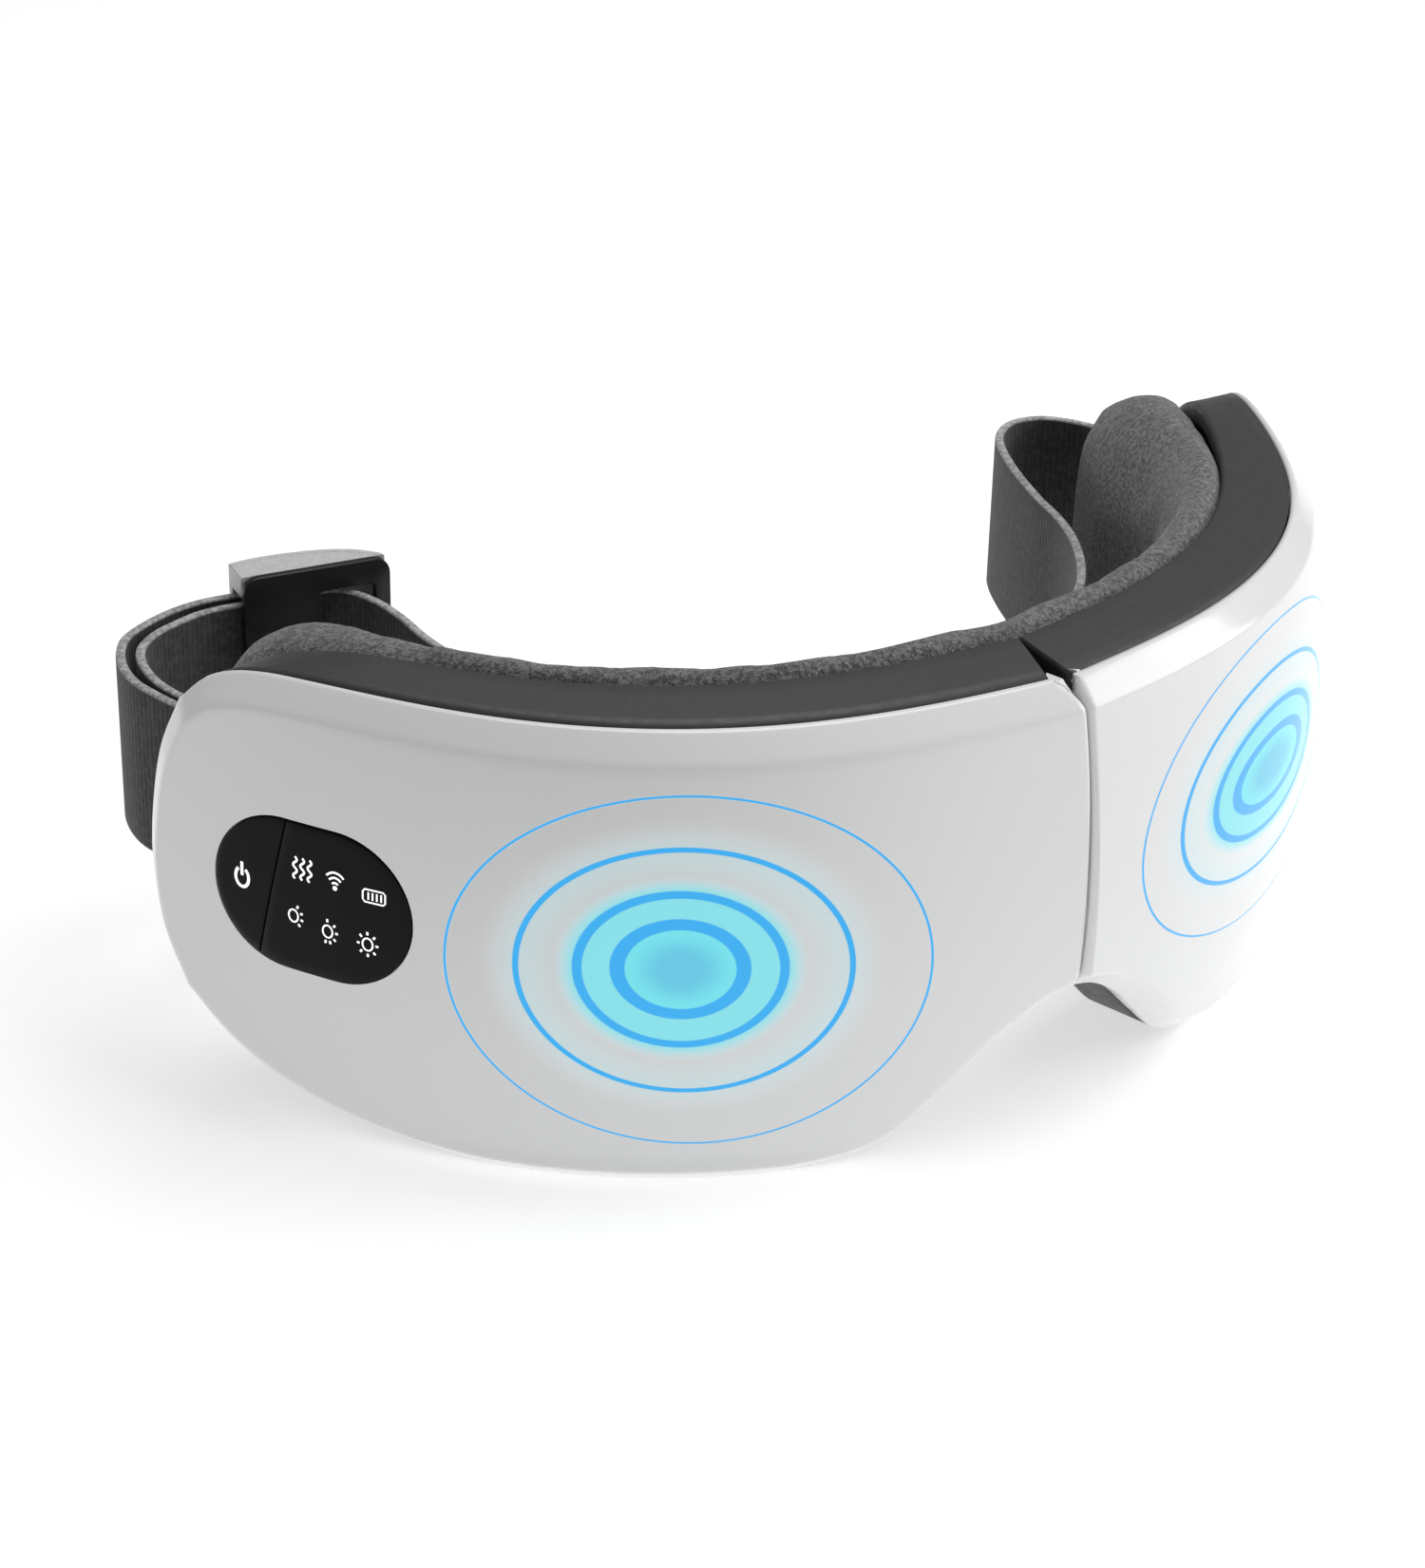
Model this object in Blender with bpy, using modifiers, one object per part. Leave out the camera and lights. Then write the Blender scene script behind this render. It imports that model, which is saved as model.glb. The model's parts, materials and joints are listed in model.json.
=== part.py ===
"""A foldable eye massager mask: two wrap-around halves hinged at the nose bridge, with a head strap.

Every piece of a half is laid out flat first, as (along, out, up): the distance along the half's plan curve
from the bridge, the distance in front of that curve, and the height below the top rim.  `wrap` then bends
it round the plan curve.  Metres, +Z up, the front faces -Y, and the wearer's face goes in from +Y.
"""
import math

import bmesh
import bpy
import numpy as np
from mathutils import Matrix, Vector

MM = 0.001
GAP = 0.3 * MM                   # clearance between touching pieces

# Driving dimensions of one half
NOSE_HEADING = 7.2               # degrees between the plan curve and the X axis at the bridge
TURN = 55.5                      # degrees the plan curve turns on its way to the temple
TURN_LENGTH = 124.6 * MM         # arc length along which it turns
HALF_LENGTH = 142.2 * MM         # arc length from the bridge to the temple end
MASK_HEIGHT = 73.5 * MM
DATUM_Y = -57.678 * MM            # puts the origin in the middle of the footprint
SHELL_STEP = 4.2 * MM            # depth of the front shell's bevelled edge
SHELL_EDGE = 0.8 * MM            # straight part of the shell's edge behind the bevel
SHELL_CROWN = 3.8 * MM           # how far the front face swells past the bevel
CROWN_HEIGHT = -36 * MM
CROWN_REACH = 33 * MM
SHELL_WALL = 1.8 * MM
TRAY_WALL = 1.5 * MM
TRAY_DEPTH = 12.0 * MM           # at the bridge
TRAY_TAPER = 3.2 * MM            # how much shallower the tray is at the temple
TRAY_DRAFT = 1.2 * MM
PAD_BACK = 21 * MM               # the face side of the lining
HINGE_Y = 12.6 * MM              # fold axis behind the front rim
FOLD_HALF_ANGLE = 30             # degrees of room each half has behind the fold axis
STRAP_TOP = -17 * MM
STRAP_WIDTH = 28 * MM
STRAP_THICK = 1.5 * MM

# Rim outline of one half, (along, up) in millimetres
RIM_TOP = [(0, 0), (40, 0), (80, 0), (112, 0), (124, -0.7), (131, -3), (136, -7.5)]
RIM_TEMPLE = [(136, -7.5), (139.6, -16), (141.6, -26), (142.2, -35), (140.8, -45), (136.5, -54.6)]
RIM_BOTTOM = [(0, -50), (6, -52), (13, -57), (20, -64), (26, -69.6), (32, -72.2), (42, -73.4), (50, -73.5),
              (78, -73.5), (92, -73.0), (106, -71.2), (118, -67.5), (128, -62.2), (136.5, -54.6)]


# ---------------------------------------------------------------- plan curve and bending

def heading(along):
    """Heading of the plan curve, in radians from the X axis."""
    part = min(max(along / TURN_LENGTH, 0.0), 1.0)
    return math.radians(NOSE_HEADING + TURN * (1 - math.cos(math.pi * part)) / 2)


def plan_table(step=0.5 * MM, reach=170 * MM):
    """Arc lengths and the X and Y of the plan curve at each."""
    along = np.arange(0, reach, step)
    middle = [heading(a + step / 2) for a in along[:-1]]
    x = np.concatenate([[0], np.cumsum(np.cos(middle) * step)])
    y = np.concatenate([[0], np.cumsum(np.sin(middle) * step)])
    return along, x, y


PLAN = plan_table()
SQUARE_LENGTH = 12 * MM          # near the bridge the outward direction turns square to the split


def bend(along, out, up, side=1):
    """World position of a flat point, on the right half (side 1) or the left half (side -1)."""
    x = np.interp(along, PLAN[0], PLAN[1]) + min(along, 0)
    y = np.interp(along, PLAN[0], PLAN[2])
    turn = heading(along) * min(max(along / SQUARE_LENGTH, 0.0), 1.0)
    return Vector((side * (x + math.sin(turn) * out), y - math.cos(turn) * out + DATUM_Y, up + MASK_HEIGHT))


def face_outward(bm):
    """Turn every face outward; a closed mesh is checked by its signed volume."""
    bm.normal_update()
    bmesh.ops.recalc_face_normals(bm, faces=bm.faces)
    closed = all(len(e.link_faces) == 2 for e in bm.edges)
    if closed and bm.calc_volume(signed=True) < 0:
        bmesh.ops.reverse_faces(bm, faces=bm.faces)
    return bm


def wrap(bm, side):
    """Bend a flat mesh onto one half; the left half is the mirror image of the right one."""
    for vert in bm.verts:
        vert.co = bend(vert.co.x, vert.co.y, vert.co.z, side)
    return face_outward(bm)


def smooth_line(points, count):
    """`count` points evenly spaced along a Catmull-Rom curve through `points`, given in millimetres."""
    pts = [np.array(p, float) * MM for p in points]
    pts = [2 * pts[0] - pts[1]] + pts + [2 * pts[-1] - pts[-2]]
    dense = []
    for a, b, c, d in zip(pts, pts[1:], pts[2:], pts[3:]):
        for t in np.linspace(0, 1, 24, endpoint=False):
            dense.append(0.5 * (2 * b + (c - a) * t + (2 * a - 5 * b + 4 * c - d) * t ** 2
                                + (3 * b - a - 3 * c + d) * t ** 3))
    dense = np.array(dense + [pts[-2]])
    run = np.concatenate([[0], np.cumsum(np.linalg.norm(np.diff(dense, axis=0), axis=1))])
    where = np.linspace(0, run[-1], count)
    return np.stack([np.interp(where, run, dense[:, k]) for k in range(dense.shape[1])], 1)


# ---------------------------------------------------------------- scene, materials, objects

def new_collection(name):
    group = bpy.data.collections.new(name)
    bpy.context.scene.collection.children.link(group)
    return group


for leftover in list(bpy.data.objects):
    bpy.data.objects.remove(leftover)
PARTS = new_collection("eye_massager_mask")
CUTTERS = new_collection("cutters")


def material(name, colour, roughness=0.5, metallic=0.0):
    mat = bpy.data.materials.get(name) or bpy.data.materials.new(name)
    mat.use_nodes = True
    shader = mat.node_tree.nodes["Principled BSDF"]
    shader.inputs["Base Color"].default_value = (*colour, 1)
    shader.inputs["Roughness"].default_value = roughness
    shader.inputs["Metallic"].default_value = metallic
    return mat


WHITE_SHELL = material("white_shell", (0.86, 0.87, 0.88), 0.18)
CHARCOAL = material("charcoal_plastic", (0.05, 0.05, 0.055), 0.42)
BLACK_GLOSS = material("black_gloss", (0.01, 0.01, 0.012), 0.08)
LINING = material("lining_fabric", (0.16, 0.16, 0.165), 0.95)
ELASTIC = material("elastic_strap", (0.08, 0.08, 0.085), 0.85)
PALE_PLASTIC = material("pale_plastic", (0.62, 0.63, 0.64), 0.35)
BOARD = material("board_green", (0.02, 0.16, 0.08), 0.5)
STEEL = material("steel", (0.55, 0.56, 0.58), 0.3, 1.0)
FOIL = material("battery_foil", (0.6, 0.62, 0.66), 0.35, 0.8)
SILICONE = material("silicone", (0.42, 0.43, 0.45), 0.6)
COPPER_FILM = material("copper_film", (0.62, 0.33, 0.12), 0.45, 0.3)


def place(name, bm, mat, group=PARTS):
    """Make a named object from a bmesh."""
    mesh = bpy.data.meshes.new(name)
    bm.to_mesh(mesh)
    bm.free()
    mesh.materials.append(mat)
    mesh.shade_smooth()
    mesh.set_sharp_from_angle(angle=math.radians(35))
    obj = bpy.data.objects.new(name, mesh)
    group.objects.link(obj)
    return obj


def cut(obj, cutter, operation="DIFFERENCE"):
    """Add a Boolean with a hidden cutter."""
    cutter.hide_render = True
    cutter.display_type = "WIRE"
    step = obj.modifiers.new(cutter.name, "BOOLEAN")
    step.object = cutter
    step.operation = operation
    step.solver = "EXACT"


def stand(obj, along, out, up, side, tilt=(0, 0, 0)):
    """Set a rigid piece, modelled about its own centre, at a flat place with its back to the tray."""
    spot = bend(along, out, up, side)
    turn = Matrix.Rotation(side * heading(along), 4, "Z")
    lean = Matrix.Rotation(tilt[0], 4, "X") @ Matrix.Rotation(tilt[1], 4, "Y") @ Matrix.Rotation(tilt[2], 4, "Z")
    obj.matrix_world = Matrix.Translation(spot) @ turn @ lean
    return obj


def block_mesh(size, bevel=0.0):
    bm = bmesh.new()
    bmesh.ops.create_cube(bm, size=1)
    bmesh.ops.scale(bm, verts=bm.verts, vec=size)
    if bevel:
        bmesh.ops.bevel(bm, geom=bm.edges[:], offset=bevel, segments=1, affect="EDGES")
    return bm


def rod_mesh(radius, length, sides=16):
    """A cylinder along Z, centred."""
    bm = bmesh.new()
    bmesh.ops.create_cone(bm, cap_ends=True, segments=sides, radius1=radius, radius2=radius, depth=length)
    return bm


SIDE_NAMES = ((-1, "left"), (1, "right"))

# ---------------------------------------------------------------- outline loops and patches

ALONG_CELLS = 16                 # cells along the top and the bottom of a patch
UP_CELLS = 6                     # cells up the temple and the bridge side


def rim_loop():
    """The rim outline as one open loop: top, temple, bottom back to the bridge."""
    top = smooth_line(RIM_TOP, ALONG_CELLS + 1)
    temple = smooth_line(RIM_TEMPLE, UP_CELLS + 1)
    bottom = smooth_line(RIM_BOTTOM, ALONG_CELLS + 1)[::-1]
    bottom[:, 1] = np.maximum(bottom[:, 1], -MASK_HEIGHT)     # the stretch it rests on is truly flat
    return np.concatenate([top, temple[1:], bottom[1:]])


def inward(loop):
    """Unit directions into the outline at each loop point; straight up or down at the bridge."""
    before = np.concatenate([loop[:1], loop[:-1]])
    after = np.concatenate([loop[1:], loop[-1:]])
    run = after - before
    run /= np.linalg.norm(run, axis=1)[:, None]
    normal = np.stack([run[:, 1], -run[:, 0]], 1)
    normal[0] = (0, -1)
    normal[-1] = (0, 1)
    return normal


RIM = rim_loop()
INWARD = inward(RIM)
LOWER = np.clip(-RIM[:, 1] / MASK_HEIGHT, 0, 1)     # 0 along the top, 1 along the bottom


def inset_loop(distance):
    """The outline moved inward by a distance, or by one distance for each point."""
    return RIM + INWARD * np.reshape(distance, (-1, 1)) * np.ones((len(RIM), 1))


def patch(loop):
    """Fill an outline loop with a grid of (along, up) points: rows run from the bridge to the temple."""
    n, m = ALONG_CELLS, UP_CELLS
    top, temple, bottom = loop[:n + 1], loop[n:n + m + 1], loop[n + m:][::-1]
    grid = np.zeros((m + 1, n + 1, 2))
    for j in range(m + 1):
        b = j / m
        nose = top[0] * (1 - b) + bottom[0] * b
        for i in range(n + 1):
            a = i / n
            corners = (top[0] * (1 - a) * (1 - b) + top[-1] * a * (1 - b)
                       + bottom[0] * (1 - a) * b + bottom[-1] * a * b)
            grid[j, i] = (1 - b) * top[i] + b * bottom[i] + (1 - a) * nose + a * temple[j] - corners
    return grid


def face_out(along, up):
    """How far the shell's front face stands in front of the rim."""
    swell = 1 - ((up - CROWN_HEIGHT) / CROWN_REACH) ** 2
    fade = 1 - (max(along, 0) / HALF_LENGTH) ** 6
    return SHELL_STEP + SHELL_CROWN * max(swell, 0) * max(fade, 0)


def tray_depth(along):
    return TRAY_DEPTH - TRAY_TAPER * (min(max(along, 0), HALF_LENGTH) / TURN_LENGTH) ** 3


def loft(loops, grid, end_out, start):
    """A surface from outline loops to a filled patch, with a wall across the bridge end.

    loops are lists of (along, out, up), from the free edge inward; grid is the patch that continues the
    last loop.  start(out) is where the bridge end lies.  end_out is how far the end wall reaches.
    """
    bm = bmesh.new()

    def vertex(along, out, up, at_end):
        return bm.verts.new((start(out) if at_end else max(along, start(out)), out, up))

    rows = []
    for loop in loops:
        last = len(loop) - 1
        rows.append([vertex(*p, k in (0, last)) for k, p in enumerate(loop)])
    n, m = ALONG_CELLS, UP_CELLS
    inner = rows[-1]
    cells = {(0, i): inner[i] for i in range(n + 1)}
    cells.update({(j, n): inner[n + j] for j in range(m + 1)})
    cells.update({(m, i): inner[n + m + (n - i)] for i in range(n + 1)})
    for j in range(1, m):
        for i in range(n):
            cells[j, i] = vertex(*grid[j][i], i == 0)
    for outer, nearer in zip(rows, rows[1:]):
        for k in range(len(outer) - 1):
            bm.faces.new((outer[k], outer[k + 1], nearer[k + 1], nearer[k]))
    for j in range(m):
        for i in range(n):
            bm.faces.new((cells[j, i], cells[j, i + 1], cells[j + 1, i + 1], cells[j + 1, i]))
    rim_side = [row[0] for row in rows[1:]] + [cells[j, 0] for j in range(1, m)]
    rim_side += [row[-1] for row in reversed(rows[1:])]
    if end_out is None:
        return bm, rows[0]
    wall = [rows[0][0]]
    wall += [bm.verts.new((start(end_out), end_out, v.co.z)) for v in rim_side[1:-1]]
    wall += [rows[0][-1]]
    for k in range(len(wall) - 1):
        bm.faces.new((rim_side[k], rim_side[k + 1], wall[k + 1], wall[k]))
    return bm


def thicken(obj, thickness):
    """Give an open surface its wall on the inside."""
    step = obj.modifiers.new("wall", "SOLIDIFY")
    step.thickness = thickness
    step.offset = -1
    step.use_even_offset = True
    step.use_quality_normals = True


def with_out(points, outs):
    """Add the out coordinate to (along, up) points."""
    return [(p[0], o, p[1]) for p, o in zip(points, outs)]


# ---------------------------------------------------------------- shells, trays, linings

BEVEL_WIDTH = 3.6 * MM - 0.6 * MM * LOWER           # the bevel is narrower along the bottom
SCREWS = [(17 * MM, -9 * MM), (100 * MM, -9 * MM), (36 * MM, -63 * MM), (98 * MM, -62 * MM)]
BOSS_RADIUS = 2.6 * MM
SCREW_RADIUS = 1.0 * MM
PANEL_MIDDLE = (112 * MM, -31.8 * MM)
PANEL_LENGTH = 31.7 * MM
PANEL_HEIGHT = 23 * MM
KEY_SPLIT = 118 * MM             # the key is the part of the panel beyond this


def stadium(middle, length, height, grow=0.0, sides=10):
    """Outline of a level stadium as (along, up) points."""
    radius = height / 2 + grow
    reach = length / 2 - height / 2
    points = []
    for end in (1, -1):
        for k in range(sides + 1):
            angle = math.pi * (k / sides - 0.5) + (0 if end > 0 else math.pi)
            points.append((middle[0] + end * reach + radius * math.cos(angle),
                           middle[1] + radius * math.sin(angle)))
    return points


def inlay(outline, front, back):
    """A flat solid with the given outline whose front follows the shell's face."""
    bm = bmesh.new()
    middle = np.mean(np.array(outline), axis=0)
    rings = []
    for scale in (1.0, 0.55):
        ring = [middle + (np.array(p) - middle) * scale for p in outline]
        rings.append([bm.verts.new((p[0], face_out(*p) + front, p[1])) for p in ring])
    centre = bm.verts.new((middle[0], face_out(*middle) + front, middle[1]))
    base = [bm.verts.new((p[0], back, p[1])) for p in outline]
    count = len(outline)
    for k in range(count):
        nxt = (k + 1) % count
        bm.faces.new((rings[0][k], rings[0][nxt], rings[1][nxt], rings[1][k]))
        bm.faces.new((rings[1][k], rings[1][nxt], centre))
        bm.faces.new((base[k], base[nxt], rings[0][nxt], rings[0][k]))
    bm.faces.new(base)
    return bm


def make_front_shell(side, word):
    face = inset_loop(BEVEL_WIDTH)
    outs = [face_out(*p) for p in face]
    loops = [with_out(RIM, np.zeros(len(RIM))),
             with_out(RIM, [o - SHELL_STEP + SHELL_EDGE for o in outs]),
             with_out(face, outs)]
    grid = [[(p[0], face_out(*p), p[1]) for p in row] for row in patch(face)]
    bm = loft(loops, grid, 0.0, lambda out: GAP)
    shell = place("front_shell_" + word, wrap(bm, side), WHITE_SHELL)
    thicken(shell, SHELL_WALL)
    for k, (along, up) in enumerate(SCREWS):
        depth = 9.6 * MM
        boss = place(f"boss_{word}_{k}", rod_mesh(BOSS_RADIUS, depth, 12), WHITE_SHELL, CUTTERS)
        stand(boss, along, -5.3 * MM + depth / 2, up, side, (math.pi / 2, 0, 0))
        cut(shell, boss, "UNION")
        bore = place(f"bore_{word}_{k}", rod_mesh(SCREW_RADIUS + GAP, 8 * MM, 10), WHITE_SHELL, CUTTERS)
        stand(bore, along, -3.5 * MM, up, side, (math.pi / 2, 0, 0))
        cut(shell, bore)
    if side < 0:
        hole = inlay(stadium(PANEL_MIDDLE, PANEL_LENGTH, PANEL_HEIGHT, GAP), 3 * MM, 1 * MM)
        cut(shell, place("panel_hole", wrap(hole, side), WHITE_SHELL, CUTTERS))
    return shell


def tray_start(side):
    """The left tray's end leans away from the split, which leaves a wedge-shaped gap open to the front."""
    def start(out):
        lean = 3.6 * MM if side < 0 else 0.0
        return GAP + lean * max(0.0, 1 + out / TRAY_DEPTH)
    return start


def make_tray(side, word):
    upward = np.maximum(-INWARD[:, 1], 0) * TRAY_DRAFT
    depth = np.array([tray_depth(p[0]) for p in RIM])
    floor = inset_loop(4.3 * MM)
    floor_out = [2 * MM - tray_depth(p[0]) for p in floor]
    loops = [with_out(RIM, np.full(len(RIM), -GAP)),
             with_out(inset_loop(-upward), -depth + 1.2 * MM),
             with_out(inset_loop(1.2 * MM - upward), -depth),
             with_out(inset_loop(3.9 * MM), -depth),
             with_out(floor, floor_out)]
    grid = [[(p[0], 2 * MM - tray_depth(p[0]), p[1]) for p in row] for row in patch(floor)]
    tray = place("rear_tray_" + word, wrap(loft(loops, grid, -GAP, tray_start(side)), side), CHARCOAL)
    thicken(tray, TRAY_WALL)
    window = place("bridge_window_" + word, block_mesh((12 * MM, 3 * MM, 22 * MM)), CHARCOAL, CUTTERS)
    stand(window, 0, -6.8 * MM, -24 * MM, side)
    cut(tray, window)
    for k, (along, up) in enumerate(SCREWS):
        hole = place(f"hole_{word}_{k}", rod_mesh(SCREW_RADIUS + GAP, 8 * MM, 10), CHARCOAL, CUTTERS)
        stand(hole, along, 1 * MM - tray_depth(along), up, side, (math.pi / 2, 0, 0))
        cut(tray, hole)
    if side < 0:
        mouth = place("port_mouth", block_mesh((9.6 * MM, 4.0 * MM, 8 * MM)), CHARCOAL, CUTTERS)
        stand(mouth, 85 * MM, -5 * MM, -73 * MM, side)
        cut(tray, mouth)
    return tray


def pad_start(out):
    """Behind the fold axis each lining is cut back, so that the halves can turn toward each other."""
    behind = max(0.0, -out - HINGE_Y)
    return 2.6 * MM + behind * math.tan(math.radians(FOLD_HALF_ANGLE))


def pad_out(along, share):
    """Out coordinate of the lining, from its seam (share 0) to its face side (share 1)."""
    front = tray_depth(along) + 0.4 * MM
    return -(front + (PAD_BACK - TRAY_DEPTH) * share)


def make_lining(side, word):
    rows = ((0.3 * MM, 0.0), (-1.6 * MM, 0.3), (1.2 * MM, 0.75), (6 * MM, 1.0))
    lowest = 0.5 * MM - MASK_HEIGHT
    loops = []
    for inset, share in rows:
        loops.append([(p[0], pad_out(p[0], share), max(p[1], lowest)) for p in inset_loop(inset)])
    grid = [[(p[0], pad_out(p[0], 1.0), p[1]) for p in row] for row in patch(inset_loop(rows[-1][0]))]
    bm, seam = loft(loops, grid, None, pad_start)
    front = patch(np.array([(p[0], p[2]) for p in loops[0]]))
    n, m = ALONG_CELLS, UP_CELLS
    cells = {(0, i): seam[i] for i in range(n + 1)}
    cells.update({(j, n): seam[n + j] for j in range(m + 1)})
    cells.update({(m, i): seam[n + m + (n - i)] for i in range(n + 1)})
    for j in range(1, m):
        for i in range(n):
            out = pad_out(front[j][i][0], 0.0)
            along = pad_start(out) if i == 0 else front[j][i][0]
            cells[j, i] = bm.verts.new((along, out, front[j][i][1]))
    for j in range(m):
        for i in range(n):
            bm.faces.new((cells[j, i], cells[j + 1, i], cells[j + 1, i + 1], cells[j, i + 1]))
    bmesh.ops.holes_fill(bm, edges=[e for e in bm.edges if e.is_boundary], sides=0)
    bmesh.ops.triangulate(bm, faces=[f for f in bm.faces if len(f.verts) > 4])
    return place("lining_" + word, wrap(bm, side), LINING)


# ---------------------------------------------------------------- control panel

def panel_outline(key_side):
    """The stadium's outline on one side of the split between the window and the key."""
    points = stadium(PANEL_MIDDLE, PANEL_LENGTH, PANEL_HEIGHT)
    edge = KEY_SPLIT + (GAP / 2 if key_side else -GAP / 2)
    reach = math.sqrt((PANEL_HEIGHT / 2) ** 2 - (edge - (PANEL_MIDDLE[0] + PANEL_LENGTH / 2
                                                         - PANEL_HEIGHT / 2)) ** 2)
    corners = [(edge, PANEL_MIDDLE[1] - reach), (edge, PANEL_MIDDLE[1] + reach)]
    if key_side:
        kept = [p for p in points if p[0] > edge + GAP]
        return [corners[0]] + kept + [corners[1]]
    kept = [p for p in points if p[0] < edge - GAP and p[1] > PANEL_MIDDLE[1]]
    low = [p for p in points if p[0] < edge - GAP and p[1] <= PANEL_MIDDLE[1]]
    kept.sort(key=lambda p: -math.atan2(p[1] - PANEL_MIDDLE[1], edge - p[0]))
    low.sort(key=lambda p: -math.atan2(p[1] - PANEL_MIDDLE[1], edge - p[0]))
    return [corners[1]] + kept + low + [corners[0]]


def make_panel():
    window = inlay(panel_outline(False), 0.0, 4.4 * MM)
    place("panel_window", wrap(window, -1), BLACK_GLOSS)
    key = place("power_key", wrap(inlay(panel_outline(True), 0.0, 4.4 * MM), -1), BLACK_GLOSS)
    key.data.transform(Matrix.Translation(-bend(*KEY_POINT, -1)))
    key.location = bend(*KEY_POINT, -1)
    switch = place("key_switch", block_mesh((4 * MM, 2.2 * MM, 4 * MM)), STEEL)
    stand(switch, KEY_POINT[0], 2.4 * MM, KEY_POINT[2], -1)
    guide = place("icon_light_guide", block_mesh((17 * MM, 1.6 * MM, 14 * MM), 0.3 * MM), PALE_PLASTIC)
    stand(guide, 107 * MM, 3.2 * MM, PANEL_MIDDLE[1], -1)
    board = place("control_board", block_mesh((34 * MM, 1.2 * MM, 24 * MM)), BOARD)
    stand(board, 111 * MM, 0.2 * MM, PANEL_MIDDLE[1], -1)


KEY_POINT = (122.6 * MM, 6.6 * MM, PANEL_MIDDLE[1])


# ---------------------------------------------------------------- working parts inside

def make_inside():
    for side, word in SIDE_NAMES:
        bag = place("airbag_" + word, block_mesh((44 * MM, 0.9 * MM, 40 * MM), 0.3 * MM), SILICONE)
        slab(bag, 58 * MM, 0.9 * MM, -38 * MM, side)
        film = place("heating_film_" + word, block_mesh((38 * MM, 0.25 * MM, 34 * MM)), COPPER_FILM)
        slab(film, 58 * MM, 0.0 * MM, -38 * MM, side)
        speaker = place("speaker_" + word, rod_mesh(7 * MM, 4 * MM, 20), CHARCOAL)
        stand(speaker, 120 * MM, -3.1 * MM, -52 * MM, side, (math.pi / 2, 0, 0))
        motor = place("vibration_motor_" + word, rod_mesh(3 * MM, 11 * MM, 14), STEEL)
        stand(motor, 34 * MM, -2 * MM, -24 * MM, side, (0, math.pi / 2, 0))
        weight = place("motor_weight_" + word, weight_mesh(), STEEL)
        stand(weight, 34 * MM, -2 * MM, -24 * MM, side, (0, math.pi / 2, 0))
        weight.data.transform(Matrix.Translation((0, 0, 9.2 * MM)))
    battery = place("battery", block_mesh((30 * MM, 5 * MM, 34 * MM), 0.8 * MM), FOIL)
    stand(battery, 62 * MM, -2.8 * MM, -42 * MM, -1)
    board = place("power_board", block_mesh((12 * MM, 1.2 * MM, 13 * MM)), BOARD)
    stand(board, 85 * MM, -2.6 * MM, -56 * MM, -1)
    port = place("charging_port", port_mesh(), STEEL)
    stand(port, 85 * MM, -5 * MM, -69.6 * MM, -1)
    pump = place("air_pump", block_mesh((16 * MM, 8 * MM, 15 * MM), 1 * MM), CHARCOAL)
    stand(pump, 62 * MM, -2.6 * MM, -42 * MM, 1)
    drive = place("pump_motor", rod_mesh(4 * MM, 18 * MM, 16), STEEL)
    stand(drive, 81 * MM, -2.4 * MM, -42 * MM, 1, (0, math.pi / 2, 0))
    valve = place("release_valve", block_mesh((9 * MM, 7 * MM, 9 * MM), 0.6 * MM), PALE_PLASTIC)
    stand(valve, 62 * MM, -3.2 * MM, -26 * MM, 1)


def slab(obj, along, lift, up, side):
    """Lay a thin sheet in the tray's recess, bent to its curve; lift is its height above the tray's back."""
    bm = bmesh.new()
    bm.from_mesh(obj.data)
    length = max(v.co.x for v in bm.verts) * 2
    for k in range(1, 8):
        cut_at = Vector((length * (k / 8 - 0.5), 0, 0))
        bmesh.ops.bisect_plane(bm, geom=bm.verts[:] + bm.edges[:] + bm.faces[:], plane_co=cut_at,
                               plane_no=(1, 0, 0))
    for vert in bm.verts:
        far = along + vert.co.x
        vert.co = (far, lift - tray_depth(far) + vert.co.y, up + vert.co.z)
    wrap(bm, side).to_mesh(obj.data)
    bm.free()


def weight_mesh():
    """A half-round eccentric weight on its short shaft stub, turning about Z."""
    bm = bmesh.new()
    points = [(2.6 * math.sin(a) * MM, -2.6 * math.cos(a) * MM) for a in np.linspace(-1.7, 1.7, 11)]
    low = [bm.verts.new((x, y, -2 * MM)) for x, y in points]
    face = bm.faces.new(low)
    grown = bmesh.ops.extrude_face_region(bm, geom=[face])["geom"]
    bmesh.ops.translate(bm, vec=(0, 0, 4 * MM), verts=[g for g in grown if isinstance(g, bmesh.types.BMVert)])
    return face_outward(bm)


def port_mesh():
    """A charging socket: a metal box open downward."""
    bm = block_mesh((9 * MM, 3.2 * MM, 6 * MM))
    bottom = [f for f in bm.faces if f.normal.z < -0.9]
    bmesh.ops.inset_region(bm, faces=bottom, thickness=0.35 * MM)
    bmesh.ops.translate(bm, vec=(0, 0, 5 * MM), verts=bottom[0].verts[:])
    return bm


def make_screws():
    for side, word in SIDE_NAMES:
        for k, (along, up) in enumerate(SCREWS):
            screw = place(f"screw_{word}_{k + 1}", screw_mesh(), STEEL)
            stand(screw, along, 4.9 * MM - tray_depth(along), up, side, (math.pi / 2, 0, 0))


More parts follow.
